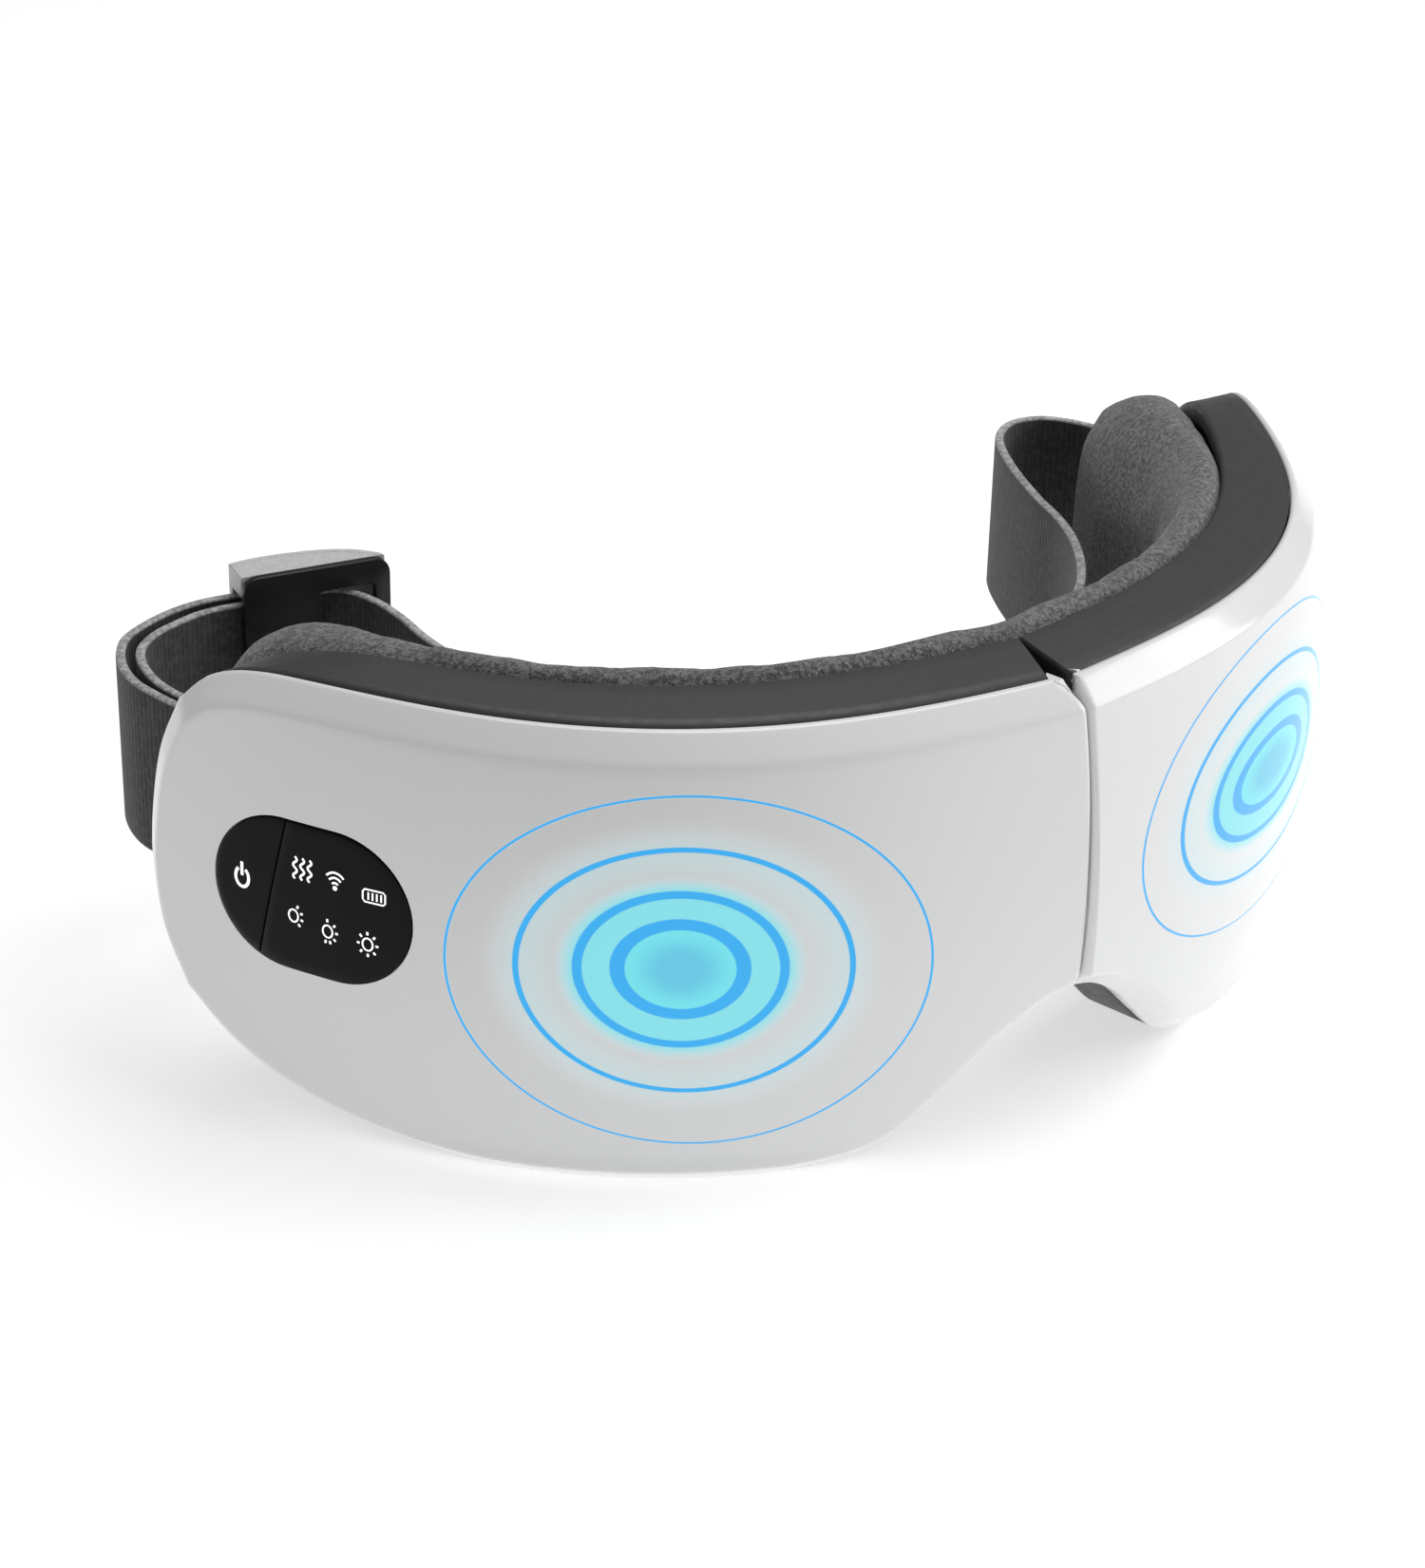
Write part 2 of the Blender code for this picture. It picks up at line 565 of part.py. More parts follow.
def screw_mesh():
    """One turned solid: a shank with a wider head at its lower end."""
    bm = bmesh.new()
    shank, head = SCREW_RADIUS - 0.1 * MM, 1.9 * MM
    profile = [(head, -4.4 * MM), (head, -3.4 * MM), (shank, -3.4 * MM), (shank, 3.6 * MM)]
    rings = [[bm.verts.new((r * math.cos(a), r * math.sin(a), z)) for a in np.arange(8) * math.pi / 4]
             for r, z in profile]
    for low, high in zip(rings, rings[1:]):
        for k in range(8):
            bm.faces.new((low[k], low[(k + 1) % 8], high[(k + 1) % 8], high[k]))
    bm.faces.new(rings[0][::-1])
    bm.faces.new(rings[-1])
    return face_outward(bm)


# ---------------------------------------------------------------- hinge and what crosses it

HINGE_RADIUS = 1.9 * MM
PIN_RADIUS = 0.8 * MM
LEFT_KNUCKLES = [(-18 * MM, -10 * MM), (-42 * MM, -34 * MM)]
RIGHT_KNUCKLES = [(-33.7 * MM, -18.3 * MM)]


def flat_block(low, high, side, cells=3):
    """A block given by two corners in (along, out, up), bent onto one half."""
    low, high = Vector(low), Vector(high)
    bm = block_mesh(high - low)
    bmesh.ops.translate(bm, verts=bm.verts, vec=(low + high) / 2)
    for k in range(1, cells):
        level = Vector((low.x + (high.x - low.x) * k / cells, 0, 0))
        bmesh.ops.bisect_plane(bm, geom=bm.verts[:] + bm.edges[:] + bm.faces[:], plane_co=level,
                               plane_no=(1, 0, 0))
    return wrap(bm, side)


def on_axis(obj, up):
    obj.location = (0, HINGE_Y + DATUM_Y, up + MASK_HEIGHT)
    return obj


def make_hinge():
    knuckles = {-1: LEFT_KNUCKLES, 1: RIGHT_KNUCKLES}
    leaf_back = TRAY_DEPTH - 2 * MM + 0.6 * MM
    for side, word in SIDE_NAMES:
        plate = flat_block((2.4 * MM, -leaf_back - 0.7 * MM, -42 * MM), (13 * MM, -leaf_back, -10 * MM), side)
        leaf = place("hinge_leaf_" + word, plate, STEEL)
        for k, (low, high) in enumerate(knuckles[side]):
            arm = place(f"hinge_arm_{word}_{k}", block_mesh((3.4 * MM, 0.7 * MM, high - low)), STEEL, CUTTERS)
            arm.location = (side * 1.5 * MM, leaf_back + 0.35 * MM + DATUM_Y, (low + high) / 2 + MASK_HEIGHT)
            cut(leaf, arm, "UNION")
            ring = place(f"hinge_ring_{word}_{k}", rod_mesh(HINGE_RADIUS, high - low, 20), STEEL, CUTTERS)
            cut(leaf, on_axis(ring, (low + high) / 2), "UNION")
        bore = place("hinge_bore_" + word, rod_mesh(PIN_RADIUS + GAP, 36 * MM, 16), STEEL, CUTTERS)
        cut(leaf, on_axis(bore, -26 * MM))
    on_axis(place("hinge_pin", rod_mesh(PIN_RADIUS, 33 * MM, 14), STEEL), -26 * MM)


def make_bridge_web():
    """The soft bridge between the two linings; it closes up as the mask folds."""
    bm = bmesh.new()
    rings = []
    for up in (0.5 * MM, -49.5 * MM):
        ring = []
        for out, side in ((-15.2 * MM, -1), (-15.2 * MM, 1), (-PAD_BACK + 0.6 * MM, 1), (-PAD_BACK + 0.6 * MM, -1)):
            edge = bend(pad_start(out), out, up, side)
            ring.append(bm.verts.new((edge.x - side * 0.35 * MM, edge.y, edge.z)))
        rings.append(ring)
    bm.faces.new(rings[0])
    bm.faces.new(rings[1][::-1])
    for k in range(4):
        bm.faces.new((rings[0][k], rings[1][k], rings[1][(k + 1) % 4], rings[0][(k + 1) % 4]))
    place("bridge_web", face_outward(bm), LINING)


def ribbon(points, top, width, thick):
    """An upright band that follows (x, y) points on the floor plan."""
    points = np.array(points)
    run = np.gradient(points, axis=0)
    run /= np.linalg.norm(run, axis=1)[:, None]
    across = np.stack([-run[:, 1], run[:, 0]], 1) * thick / 2
    bm = bmesh.new()
    rings = []
    for p, a in zip(points, across):
        corners = ((p + a, top), (p - a, top), (p - a, top - width), (p + a, top - width))
        rings.append([bm.verts.new((q[0], q[1] + DATUM_Y, z + MASK_HEIGHT)) for q, z in corners])
    for one, two in zip(rings, rings[1:]):
        for k in range(4):
            bm.faces.new((one[k], two[k], two[(k + 1) % 4], one[(k + 1) % 4]))
    bm.faces.new(rings[0])
    bm.faces.new(rings[-1][::-1])
    return face_outward(bm)


def make_crossings():
    cable = smooth_line([(-9, 6.0), (-5, 7.0), (0, 7.2), (5, 7.0), (9, 6.0)], 9)
    place("flex_cable", ribbon(cable, -26 * MM, 7 * MM, 0.3 * MM), COPPER_FILM)
    run = [(56.5, -23.5), (48, -19.5), (38, -17.6), (26, -17), (14, -17), (6, -17)]
    flat = [(side * along, up) for side, line in ((1, run), (-1, run[:0:-1])) for along, up in line]
    path = []
    for along, up in flat:
        path.append(bend(abs(along) * MM, -6.8 * MM, up * MM, 1 if along > 0 else -1))
    curve = bpy.data.curves.new("air_tube", "CURVE")
    curve.dimensions = "3D"
    curve.bevel_depth = 0.9 * MM
    curve.bevel_resolution = 1
    curve.use_fill_caps = True
    spline = curve.splines.new("POLY")
    line = smooth_line([tuple(p / MM) for p in path], 26)
    spline.points.add(len(line) - 1)
    for point, spot in zip(spline.points, line):
        point.co = (*spot, 1)
    curve.materials.append(SILICONE)
    PARTS.objects.link(bpy.data.objects.new("air_tube", curve))


# ---------------------------------------------------------------- strap and buckle

ANCHOR_OUT = -7.6 * MM
BAR_END = 146.4 * MM


def make_anchors():
    for side, word in SIDE_NAMES:
        plate = flat_block((142.5 * MM, ANCHOR_OUT - 1 * MM, -47.5 * MM),
                           (BAR_END, ANCHOR_OUT + 1 * MM, -14.5 * MM), side, 1)
        anchor = place("strap_anchor_" + word, plate, CHARCOAL)
        slot = flat_block((143.3 * MM, ANCHOR_OUT - 3 * MM, -45.4 * MM),
                          (145.1 * MM, ANCHOR_OUT + 3 * MM, -16.6 * MM), side, 1)
        cut(anchor, place("anchor_slot_" + word, slot, CHARCOAL, CUTTERS))


def anchor_end(offset):
    """Where a strap layer starts beside the left anchor, as (x, y) in millimetres."""
    spot = bend(BAR_END + 1.2 * MM, ANCHOR_OUT + offset * MM, 0, -1)
    return (spot.x / MM, (spot.y - DATUM_Y) / MM)


def mirrored(points):
    return [(-x, y) for x, y in points]


def make_strap():
    outer = [anchor_end(1.0), (-97.2, 98), (-96, 103.2), (-94.9, 108.7), (-92.6, 113.8), (-89, 117.9),
             (-82, 121.2), (-75.5, 122.5), (-69.1, 121.9), (-63.3, 120.1)]
    inner = [anchor_end(-1.6), (-94.6, 97.4), (-93.3, 102.2), (-92, 107.9), (-89.7, 112.6), (-85.5, 116),
             (-80, 118), (-75, 118.9), (-69.3, 118.3), (-58.5, 116.2)]
    leave = [(-57.6, 116), (-54.7, 115.2), (-52.6, 113.6), (-51.2, 110.6), (-50.4, 106), (-50.4, 100),
             (-51.2, 92), (-51.2, 82), (-47.6, 69), (-40, 55.5), (-30, 43), (-16, 33), (-0.5, 29)]
    right = [(0.5, 29), (16, 32), (29, 38), (39, 44.2), (48, 51.2), (55.6, 60.4), (61.3, 70.9), (65, 82),
             (69.4, 93), (74, 102), (78, 107), (83, 109.6), (88.4, 108.6), (92, 104.6), (95, 98.5),
             mirrored([anchor_end(-0.6)])[0]]
    layers = (("strap_outer_layer", outer, 26), ("strap_inner_layer", inner, 26), ("strap_inside_run", leave, 34),
              ("strap_right_run", right, 44))
    for name, points, count in layers:
        place(name, ribbon(smooth_line(points, count), STRAP_TOP, STRAP_WIDTH, STRAP_THICK), ELASTIC)


BUCKLE_SPOT = (-60, 114)         # the buckle's own origin in its outlines, in millimetres
BUCKLE_PLACE = (-58.27, 114.77)  # where that origin stands on the floor plan, in millimetres
BUCKLE_TURN = -11                # degrees the buckle is turned to follow the strap


def prism(points, low, high):
    """An upright prism over a floor-plan outline in millimetres, about the buckle's origin."""
    bm = bmesh.new()
    ring = [bm.verts.new(((x - BUCKLE_SPOT[0]) * MM, (y - BUCKLE_SPOT[1]) * MM, low)) for x, y in points]
    face = bm.faces.new(ring)
    grown = bmesh.ops.extrude_face_region(bm, geom=[face])["geom"]
    bmesh.ops.translate(bm, vec=(0, 0, high - low), verts=[g for g in grown if isinstance(g, bmesh.types.BMVert)])
    return face_outward(bm)


def set_buckle(obj):
    middle = STRAP_TOP - STRAP_WIDTH / 2
    obj.location = (BUCKLE_PLACE[0] * MM, BUCKLE_PLACE[1] * MM + DATUM_Y, middle + MASK_HEIGHT)
    obj.rotation_euler.z = math.radians(BUCKLE_TURN)
    return obj


def make_buckle():
    half = STRAP_WIDTH / 2 + 5 * MM
    room = STRAP_WIDTH / 2 + 0.8 * MM
    bm = prism([(-71.5, 112.6), (-47, 112.6), (-47, 114.1), (-71.5, 114.1)], -half, half)
    upright = [e for e in bm.edges if abs(e.verts[0].co.y - e.verts[1].co.y) > 1 * MM
               and abs(e.verts[0].co.x - e.verts[1].co.x) < 0.1 * MM and e.verts[0].co.z == e.verts[1].co.z]
    bmesh.ops.bevel(bm, geom=upright, offset=2.4 * MM, segments=3, affect="EDGES", profile=0.5)
    plate = set_buckle(place("buckle_plate", bm, BLACK_GLOSS))
    slot = prism([(-59, 111), (-49.6, 111), (-49.6, 116), (-59, 116)], -room, room)
    cut(plate, set_buckle(place("buckle_slot", slot, BLACK_GLOSS, CUTTERS)))
    outline = [(-71.3, 114.4), (-47.2, 114.4), (-47.3, 115.4), (-51.5, 118.6), (-58, 120.7), (-66, 121.2),
               (-71.3, 120.4)]
    cover = set_buckle(place("buckle_cover", prism(outline, -half + 0.4 * MM, half - 0.4 * MM), PALE_PLASTIC))
    hollow = [(-73, 114), (-49, 114), (-49.4, 115), (-52.5, 117.3), (-58.6, 119.4), (-66, 119.9), (-73, 119.9)]
    room_cutter = prism(hollow, -room, room)
    cut(cover, set_buckle(place("buckle_room", room_cutter, PALE_PLASTIC, CUTTERS)))


for half_side, half_word in SIDE_NAMES:
    make_front_shell(half_side, half_word)
    make_tray(half_side, half_word)
    make_lining(half_side, half_word)
make_panel()
make_inside()
make_screws()
make_hinge()
make_bridge_web()
make_crossings()
make_anchors()
make_strap()
make_buckle()
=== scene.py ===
import json
import math

import bmesh
import bpy
import numpy as np
from mathutils import Matrix, Vector


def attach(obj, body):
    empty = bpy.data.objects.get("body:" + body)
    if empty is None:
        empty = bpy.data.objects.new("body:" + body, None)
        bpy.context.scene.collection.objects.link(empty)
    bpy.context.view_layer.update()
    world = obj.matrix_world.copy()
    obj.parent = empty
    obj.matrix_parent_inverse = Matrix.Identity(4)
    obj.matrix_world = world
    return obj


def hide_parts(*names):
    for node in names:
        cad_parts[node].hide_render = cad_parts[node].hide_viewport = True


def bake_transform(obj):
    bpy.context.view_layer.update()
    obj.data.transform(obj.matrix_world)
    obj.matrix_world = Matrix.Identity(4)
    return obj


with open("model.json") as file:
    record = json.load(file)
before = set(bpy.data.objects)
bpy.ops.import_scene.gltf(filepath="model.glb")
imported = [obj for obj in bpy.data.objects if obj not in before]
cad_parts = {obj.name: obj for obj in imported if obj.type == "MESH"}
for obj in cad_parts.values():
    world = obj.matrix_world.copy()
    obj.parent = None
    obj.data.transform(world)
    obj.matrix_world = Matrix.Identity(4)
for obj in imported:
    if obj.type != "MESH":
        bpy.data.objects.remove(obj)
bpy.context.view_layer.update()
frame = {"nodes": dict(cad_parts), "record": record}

MM = 0.001
LEFT, RIGHT = -1, 1
WORDS = {LEFT: "left", RIGHT: "right"}

# Driving dimensions of one half, laid out flat as (along, out, up) and bent round the plan curve
NOSE_HEADING = 7.2
TURN = 55.5
TURN_LENGTH = 124.6 * MM
MASK_HEIGHT = 73.5 * MM
DATUM_Y = -57.678 * MM
SQUARE_LENGTH = 12 * MM
SHELL_DEPTH = 4.2 * MM
SHELL_CROWN = 3.8 * MM
HALF_LENGTH = 142.2 * MM
TRAY_DEPTH = 12.0 * MM
TRAY_TAPER = 3.2 * MM
TRAY_DRAFT = 1.2 * MM
TEMPLE_START = 108 * MM          # from here to the temple the tray's top edge drops towards its back
TEMPLE_RUN = 36 * MM
TEMPLE_DROP = 5.0 * MM
TEMPLE_FOOT = -34 * MM           # below this height nothing drops
SPLIT_GAP = 0.28 * MM            # each half stops this far from the split plane
SPLIT_ROUND = 0.9 * MM           # rounding of the front edge at the split
STRAP_MIDDLE = MASK_HEIGHT - 31 * MM
STRAP_WIDTH = 28 * MM
STRAP_THICK = 1.5 * MM

RIM_TOP = [(0, 0), (40, 0), (80, 0), (112, 0), (124, -0.7), (131, -3), (136, -7.5)]
RIM_TEMPLE = [(136, -7.5), (139.6, -16), (141.6, -26), (142.2, -35), (140.8, -45), (136.5, -54.6)]
RIM_BOTTOM = [(0, -50), (6, -52), (13, -57), (20, -64), (26, -69.6), (32, -72.2), (42, -73.4), (50, -73.5),
              (78, -73.5), (92, -73.0), (106, -71.2), (118, -67.5), (128, -62.2), (136.5, -54.6)]


# ---------------------------------------------------------------- plan curve

def headings(along):
    part = np.clip(np.asarray(along, float) / TURN_LENGTH, 0, 1)
    return np.radians(NOSE_HEADING + TURN * (1 - np.cos(np.pi * part)) / 2)


STEP = 0.5 * MM
ARC = np.arange(0, 170 * MM, STEP)
MIDDLE = headings(ARC[:-1] + STEP / 2)
PLAN_X = np.concatenate([[0], np.cumsum(np.cos(MIDDLE) * STEP)])
PLAN_Y = np.concatenate([[0], np.cumsum(np.sin(MIDDLE) * STEP)])


def bend(points, side):
    """World positions of flat points (along, out, up) on one half."""
    p = np.asarray(points, float)
    along, out, up = p[..., 0], p[..., 1], p[..., 2]
    turn = headings(along) * np.clip(along / SQUARE_LENGTH, 0, 1)
    x = np.interp(along, ARC, PLAN_X) + np.minimum(along, 0) + np.sin(turn) * out
    y = np.interp(along, ARC, PLAN_Y) - np.cos(turn) * out + DATUM_Y
    return np.stack([side * x, y, up + MASK_HEIGHT], -1)


def face_out(along, up):
    """How far the front face stands in front of the rim plane."""
    crown = np.maximum(1 - ((up / MM + 36) / 33) ** 2, 0)
    fade = np.maximum(1 - (np.abs(along) / HALF_LENGTH) ** 6, 0)
    return SHELL_DEPTH + SHELL_CROWN * crown * fade


def tray_depth(along):
    return TRAY_DEPTH - TRAY_TAPER * np.clip(along / TURN_LENGTH, 0, 1) ** 3


def smooth_line(points, where=None, count=None):
    """Points on a Catmull-Rom curve through `points` (millimetres), at shares of its length."""
    pts = [np.array(p, float) * MM for p in points]
    pts = [2 * pts[0] - pts[1]] + pts + [2 * pts[-1] - pts[-2]]
    dense = []
    for a, b, c, d in zip(pts, pts[1:], pts[2:], pts[3:]):
        for t in np.linspace(0, 1, 40, endpoint=False):
            dense.append(0.5 * (2 * b + (c - a) * t + (2 * a - 5 * b + 4 * c - d) * t ** 2
                                + (3 * b - a - 3 * c + d) * t ** 3))
    dense = np.array(dense + [pts[-2]])
    run = np.concatenate([[0], np.cumsum(np.linalg.norm(np.diff(dense, axis=0), axis=1))])
    where = np.linspace(0, 1, count) if where is None else np.asarray(where)
    return np.stack([np.interp(where * run[-1], run, dense[:, k]) for k in range(dense.shape[1])], 1)


# ---------------------------------------------------------------- outline loops

NEAR_SPLIT = np.array([0, 0.12, 0.3, 0.55, 0.85, 1.25, 1.8, 2.6, 3.8, 5.4]) / 145
SHARES = np.concatenate([NEAR_SPLIT, np.linspace(7.2 / 145, 1, 86)])
N, M = len(SHARES) - 1, 44


def rim_loop():
    top = smooth_line(RIM_TOP, SHARES)
    temple = smooth_line(RIM_TEMPLE, count=M + 1)
    bottom = smooth_line(RIM_BOTTOM, SHARES)[::-1]
    bottom[:, 1] = np.maximum(bottom[:, 1], -MASK_HEIGHT)
    return np.concatenate([top, temple[1:], bottom[1:]])


def inward_of(loop):
    before = np.concatenate([loop[:1], loop[:-1]])
    after = np.concatenate([loop[1:], loop[-1:]])
    run = after - before
    run /= np.linalg.norm(run, axis=1)[:, None]
    normal = np.stack([run[:, 1], -run[:, 0]], 1)
    for _ in range(6):                       # evens out the direction round the tight corners
        normal[1:-1] = (normal[:-2] + 2 * normal[1:-1] + normal[2:]) / 4
    normal /= np.linalg.norm(normal, axis=1)[:, None]
    normal[0] = (0, -1)
    normal[-1] = (0, 1)
    return normal


RIM = rim_loop()
INWARD = inward_of(RIM)
LOWER = np.clip(-RIM[:, 1] / MASK_HEIGHT, 0, 1)


def inset(distance):
    return RIM + INWARD * np.reshape(distance, (-1, 1)) * np.ones((len(RIM), 1))


def closed(loop):
    """Close an open outline loop with evenly spaced points up the bridge side."""
    t = np.linspace(0, 1, M + 1)[1:-1, None]
    return np.concatenate([loop, loop[-1] + (loop[0] - loop[-1]) * t])


def patch(loop):
    """Grid of (along, up) points inside an open outline loop; row i, column j from the top."""
    top, temple, bottom = loop[:N + 1], loop[N:N + M + 1], loop[N + M:][::-1]
    s = SHARES[:, None, None]
    t = np.linspace(0, 1, M + 1)[None, :, None]
    bridge = top[0] + (bottom[0] - top[0]) * t[0]
    return ((1 - t) * top[:, None] + t * bottom[:, None] + (1 - s) * bridge[None] + s * temple[None]
            - (1 - s) * (1 - t) * top[0] - s * (1 - t) * top[-1]
            - (1 - s) * t * bottom[0] - s * t * bottom[-1])


def cap_index(base):
    """Vertex numbers of a patch whose border is the closed loop that starts at `base`, and of its inside."""
    total = 2 * N + 2 * M
    index = np.full((N + 1, M + 1), -1)
    for i in range(N + 1):
        index[i, 0] = base + i
        index[i, M] = base + N + M + (N - i)
    for j in range(M + 1):
        index[N, j] = base + N + j
        if j:
            index[0, j] = base + (total - j) % total if j < M else base + 2 * N + M
    index[1:N, 1:M] = base + total + np.arange((N - 1) * (M - 1)).reshape(N - 1, M - 1)
    return index


def make_object(name, verts, faces, mat, flat=None, smooth=True):
    """A named mesh; `flat` is stored as a UV map in metres, for the materials."""
    mesh = bpy.data.meshes.new(name)
    mesh.from_pydata([tuple(v) for v in verts], [], [tuple(f) for f in faces])
    mesh.update()
    obj = bpy.data.objects.new(name, mesh)
    bpy.context.scene.collection.objects.link(obj)
    for part in (mat if isinstance(mat, list) else [mat]):
        mesh.materials.append(part)
    if flat is not None:
        layer = mesh.uv_layers.new(name="flat")
        which = np.empty(len(mesh.loops), int)
        mesh.loops.foreach_get("vertex_index", which)
        layer.data.foreach_set("uv", np.asarray(flat, float)[which].ravel())
    if smooth:
        mesh.shade_smooth()
    return obj


def orient(obj):
    """Turn a closed mesh's faces outward."""
    bm = bmesh.new()
    bm.from_mesh(obj.data)
    bmesh.ops.recalc_face_normals(bm, faces=bm.faces)
    if bm.calc_volume(signed=True) < 0:
        bmesh.ops.reverse_faces(bm, faces=bm.faces)
    bm.to_mesh(obj.data)
    bm.free()
    return obj


def sharp_by_angle(obj, degrees=35):
    mesh = obj.data
    bm = bmesh.new()
    bm.from_mesh(mesh)
    for edge in bm.edges:
        if len(edge.link_faces) == 2:
            edge.smooth = edge.calc_face_angle(0) < math.radians(degrees)
    bm.to_mesh(mesh)
    bm.free()
    return obj


def face_towards(obj, direction, first_face):
    """Flip an open mesh whose faces from `first_face` on look away from a direction."""
    total = sum((f.normal * f.area for f in obj.data.polygons[first_face:]), Vector())
    if total.dot(Vector(direction)) < 0:
        obj.data.flip_normals()
    return obj


def apply_modifiers(obj):
    graph = bpy.context.evaluated_depsgraph_get()
    mesh = bpy.data.meshes.new_from_object(obj.evaluated_get(graph), preserve_all_data_layers=True,
                                           depsgraph=graph)
    obj.modifiers.clear()
    old = obj.data
    obj.data = mesh
    mesh.name = obj.name
    bpy.data.meshes.remove(old)
    return obj


# ---------------------------------------------------------------- materials

class Nodes:
    """A short way to write one material's node tree."""

    def __init__(self, name, colour, roughness, metallic=0.0, **constant):
        self.mat = bpy.data.materials.new(name)
        self.mat.use_nodes = True
        self.tree = self.mat.node_tree
        self.shader = self.tree.nodes["Principled BSDF"]
        self.shader.inputs["Base Color"].default_value = (*colour, 1)
        self.shader.inputs["Roughness"].default_value = roughness
        self.shader.inputs["Metallic"].default_value = metallic
        for socket, value in constant.items():
            self.shader.inputs[socket.replace("_", " ")].default_value = value

    def set(self, socket, value):
        if isinstance(value, bpy.types.NodeSocket):
            self.tree.links.new(value, socket)
        elif isinstance(value, tuple) and len(value) == 3 and socket.type == "RGBA":
            socket.default_value = (*value, 1)
        else:
            socket.default_value = value

    def math(self, operation, *values, clamp=False):
        node = self.tree.nodes.new("ShaderNodeMath")
        node.operation, node.use_clamp = operation, clamp
        for k, value in enumerate(values):
            self.set(node.inputs[k], value)
        return node.outputs[0]

    def span(self, value, low, high, to_low=0.0, to_high=1.0, smooth=True):
        node = self.tree.nodes.new("ShaderNodeMapRange")
        node.interpolation_type = "SMOOTHSTEP" if smooth else "LINEAR"
        for k, v in enumerate((value, low, high, to_low, to_high)):
            self.set(node.inputs[k], v)
        return node.outputs[0]

    def mix(self, share, a, b):
        node = self.tree.nodes.new("ShaderNodeMix")
        node.data_type = "RGBA"
        self.set(node.inputs[0], share)
        self.set(node.inputs[6], a)
        self.set(node.inputs[7], b)
        return node.outputs[2]

    def coords(self, kind="Object"):
        return self.tree.nodes.new("ShaderNodeTexCoord").outputs[kind]

    def flat(self):
        """The flat (along, up) position as two numbers in millimetres."""
        uv = self.tree.nodes.new("ShaderNodeUVMap")
        uv.uv_map = "flat"
        split = self.tree.nodes.new("ShaderNodeSeparateXYZ")
        self.tree.links.new(uv.outputs[0], split.inputs[0])
        return [self.math("MULTIPLY", split.outputs[k], 1000.0) for k in range(2)]

    def noise(self, scale, detail=2.0, vector=None, roughness=0.5):
        node = self.tree.nodes.new("ShaderNodeTexNoise")
        self.tree.links.new(vector or self.coords(), node.inputs["Vector"])
        node.inputs["Scale"].default_value = scale
        node.inputs["Detail"].default_value = detail
        node.inputs["Roughness"].default_value = roughness
        return node.outputs["Fac"]

    def bump(self, height, strength, distance=0.0002):
        node = self.tree.nodes.new("ShaderNodeBump")
        node.inputs["Strength"].default_value = strength
        node.inputs["Distance"].default_value = distance
        self.tree.links.new(height, node.inputs["Height"])
        self.tree.links.new(node.outputs[0], self.shader.inputs["Normal"])

    def rough(self, base, spread, scale=400):
        self.set(self.shader.inputs["Roughness"], self.span(self.noise(scale, 3), 0.3, 0.7,
                                                            base - spread, base + spread))

    def colour(self, value):
        self.set(self.shader.inputs["Base Color"], value)


# Light rings on each half's face, drawn as print with a painted glow (emission) on and round them: middle (along,
# up), half sizes, line width, all in millimetres
RINGS = {
    LEFT: [((57.85, -36.2), (32.9, 28.35), 0.42), ((58.8, -35.0), (22.2, 19.5), 0.85),
           ((59.4, -34.2), (13.5, 12.05), 1.25), ((59.5, -33.9), (8.2, 7.2), 1.85)],
    RIGHT: [((44.3, -29.9), (34.3, 23.7), 0.42), ((43.0, -28.9), (24.2, 16.0), 0.85),
            ((42.9, -28.5), (16.0, 9.7), 1.25), ((43.0, -28.4), (10.6, 5.5), 1.85)],
}
RING_TILT = {LEFT: 0.14, RIGHT: 0.07}
# Colours of the ring print and of the painted glow round it and in its middle
RING_BLUE = (0.003, 0.40, 0.87)
GLOW_CYAN = (0.102, 0.75, 0.83)
CENTRE_BLUE = (0.071, 0.515, 0.753)


def ring_reach(n, along, up, side, ring):
    """How far a point lies outside a ring's middle line, in millimetres."""
    (a0, u0), (a, b), width = ring
    tilt = RING_TILT[side]
    da, du = n.math("SUBTRACT", along, a0), n.math("SUBTRACT", up, u0)
    p = n.math("ADD", n.math("MULTIPLY", da, math.cos(tilt) / a), n.math("MULTIPLY", du, math.sin(tilt) / a))
    q = n.math("SUBTRACT", n.math("MULTIPLY", du, math.cos(tilt) / b), n.math("MULTIPLY", da, math.sin(tilt) / b))
    reach = n.math("SQRT", n.math("ADD", n.math("MULTIPLY", p, p), n.math("MULTIPLY", q, q)))
    return n.math("MULTIPLY", n.math("SUBTRACT", reach, 1.0), (a + b) / 2)


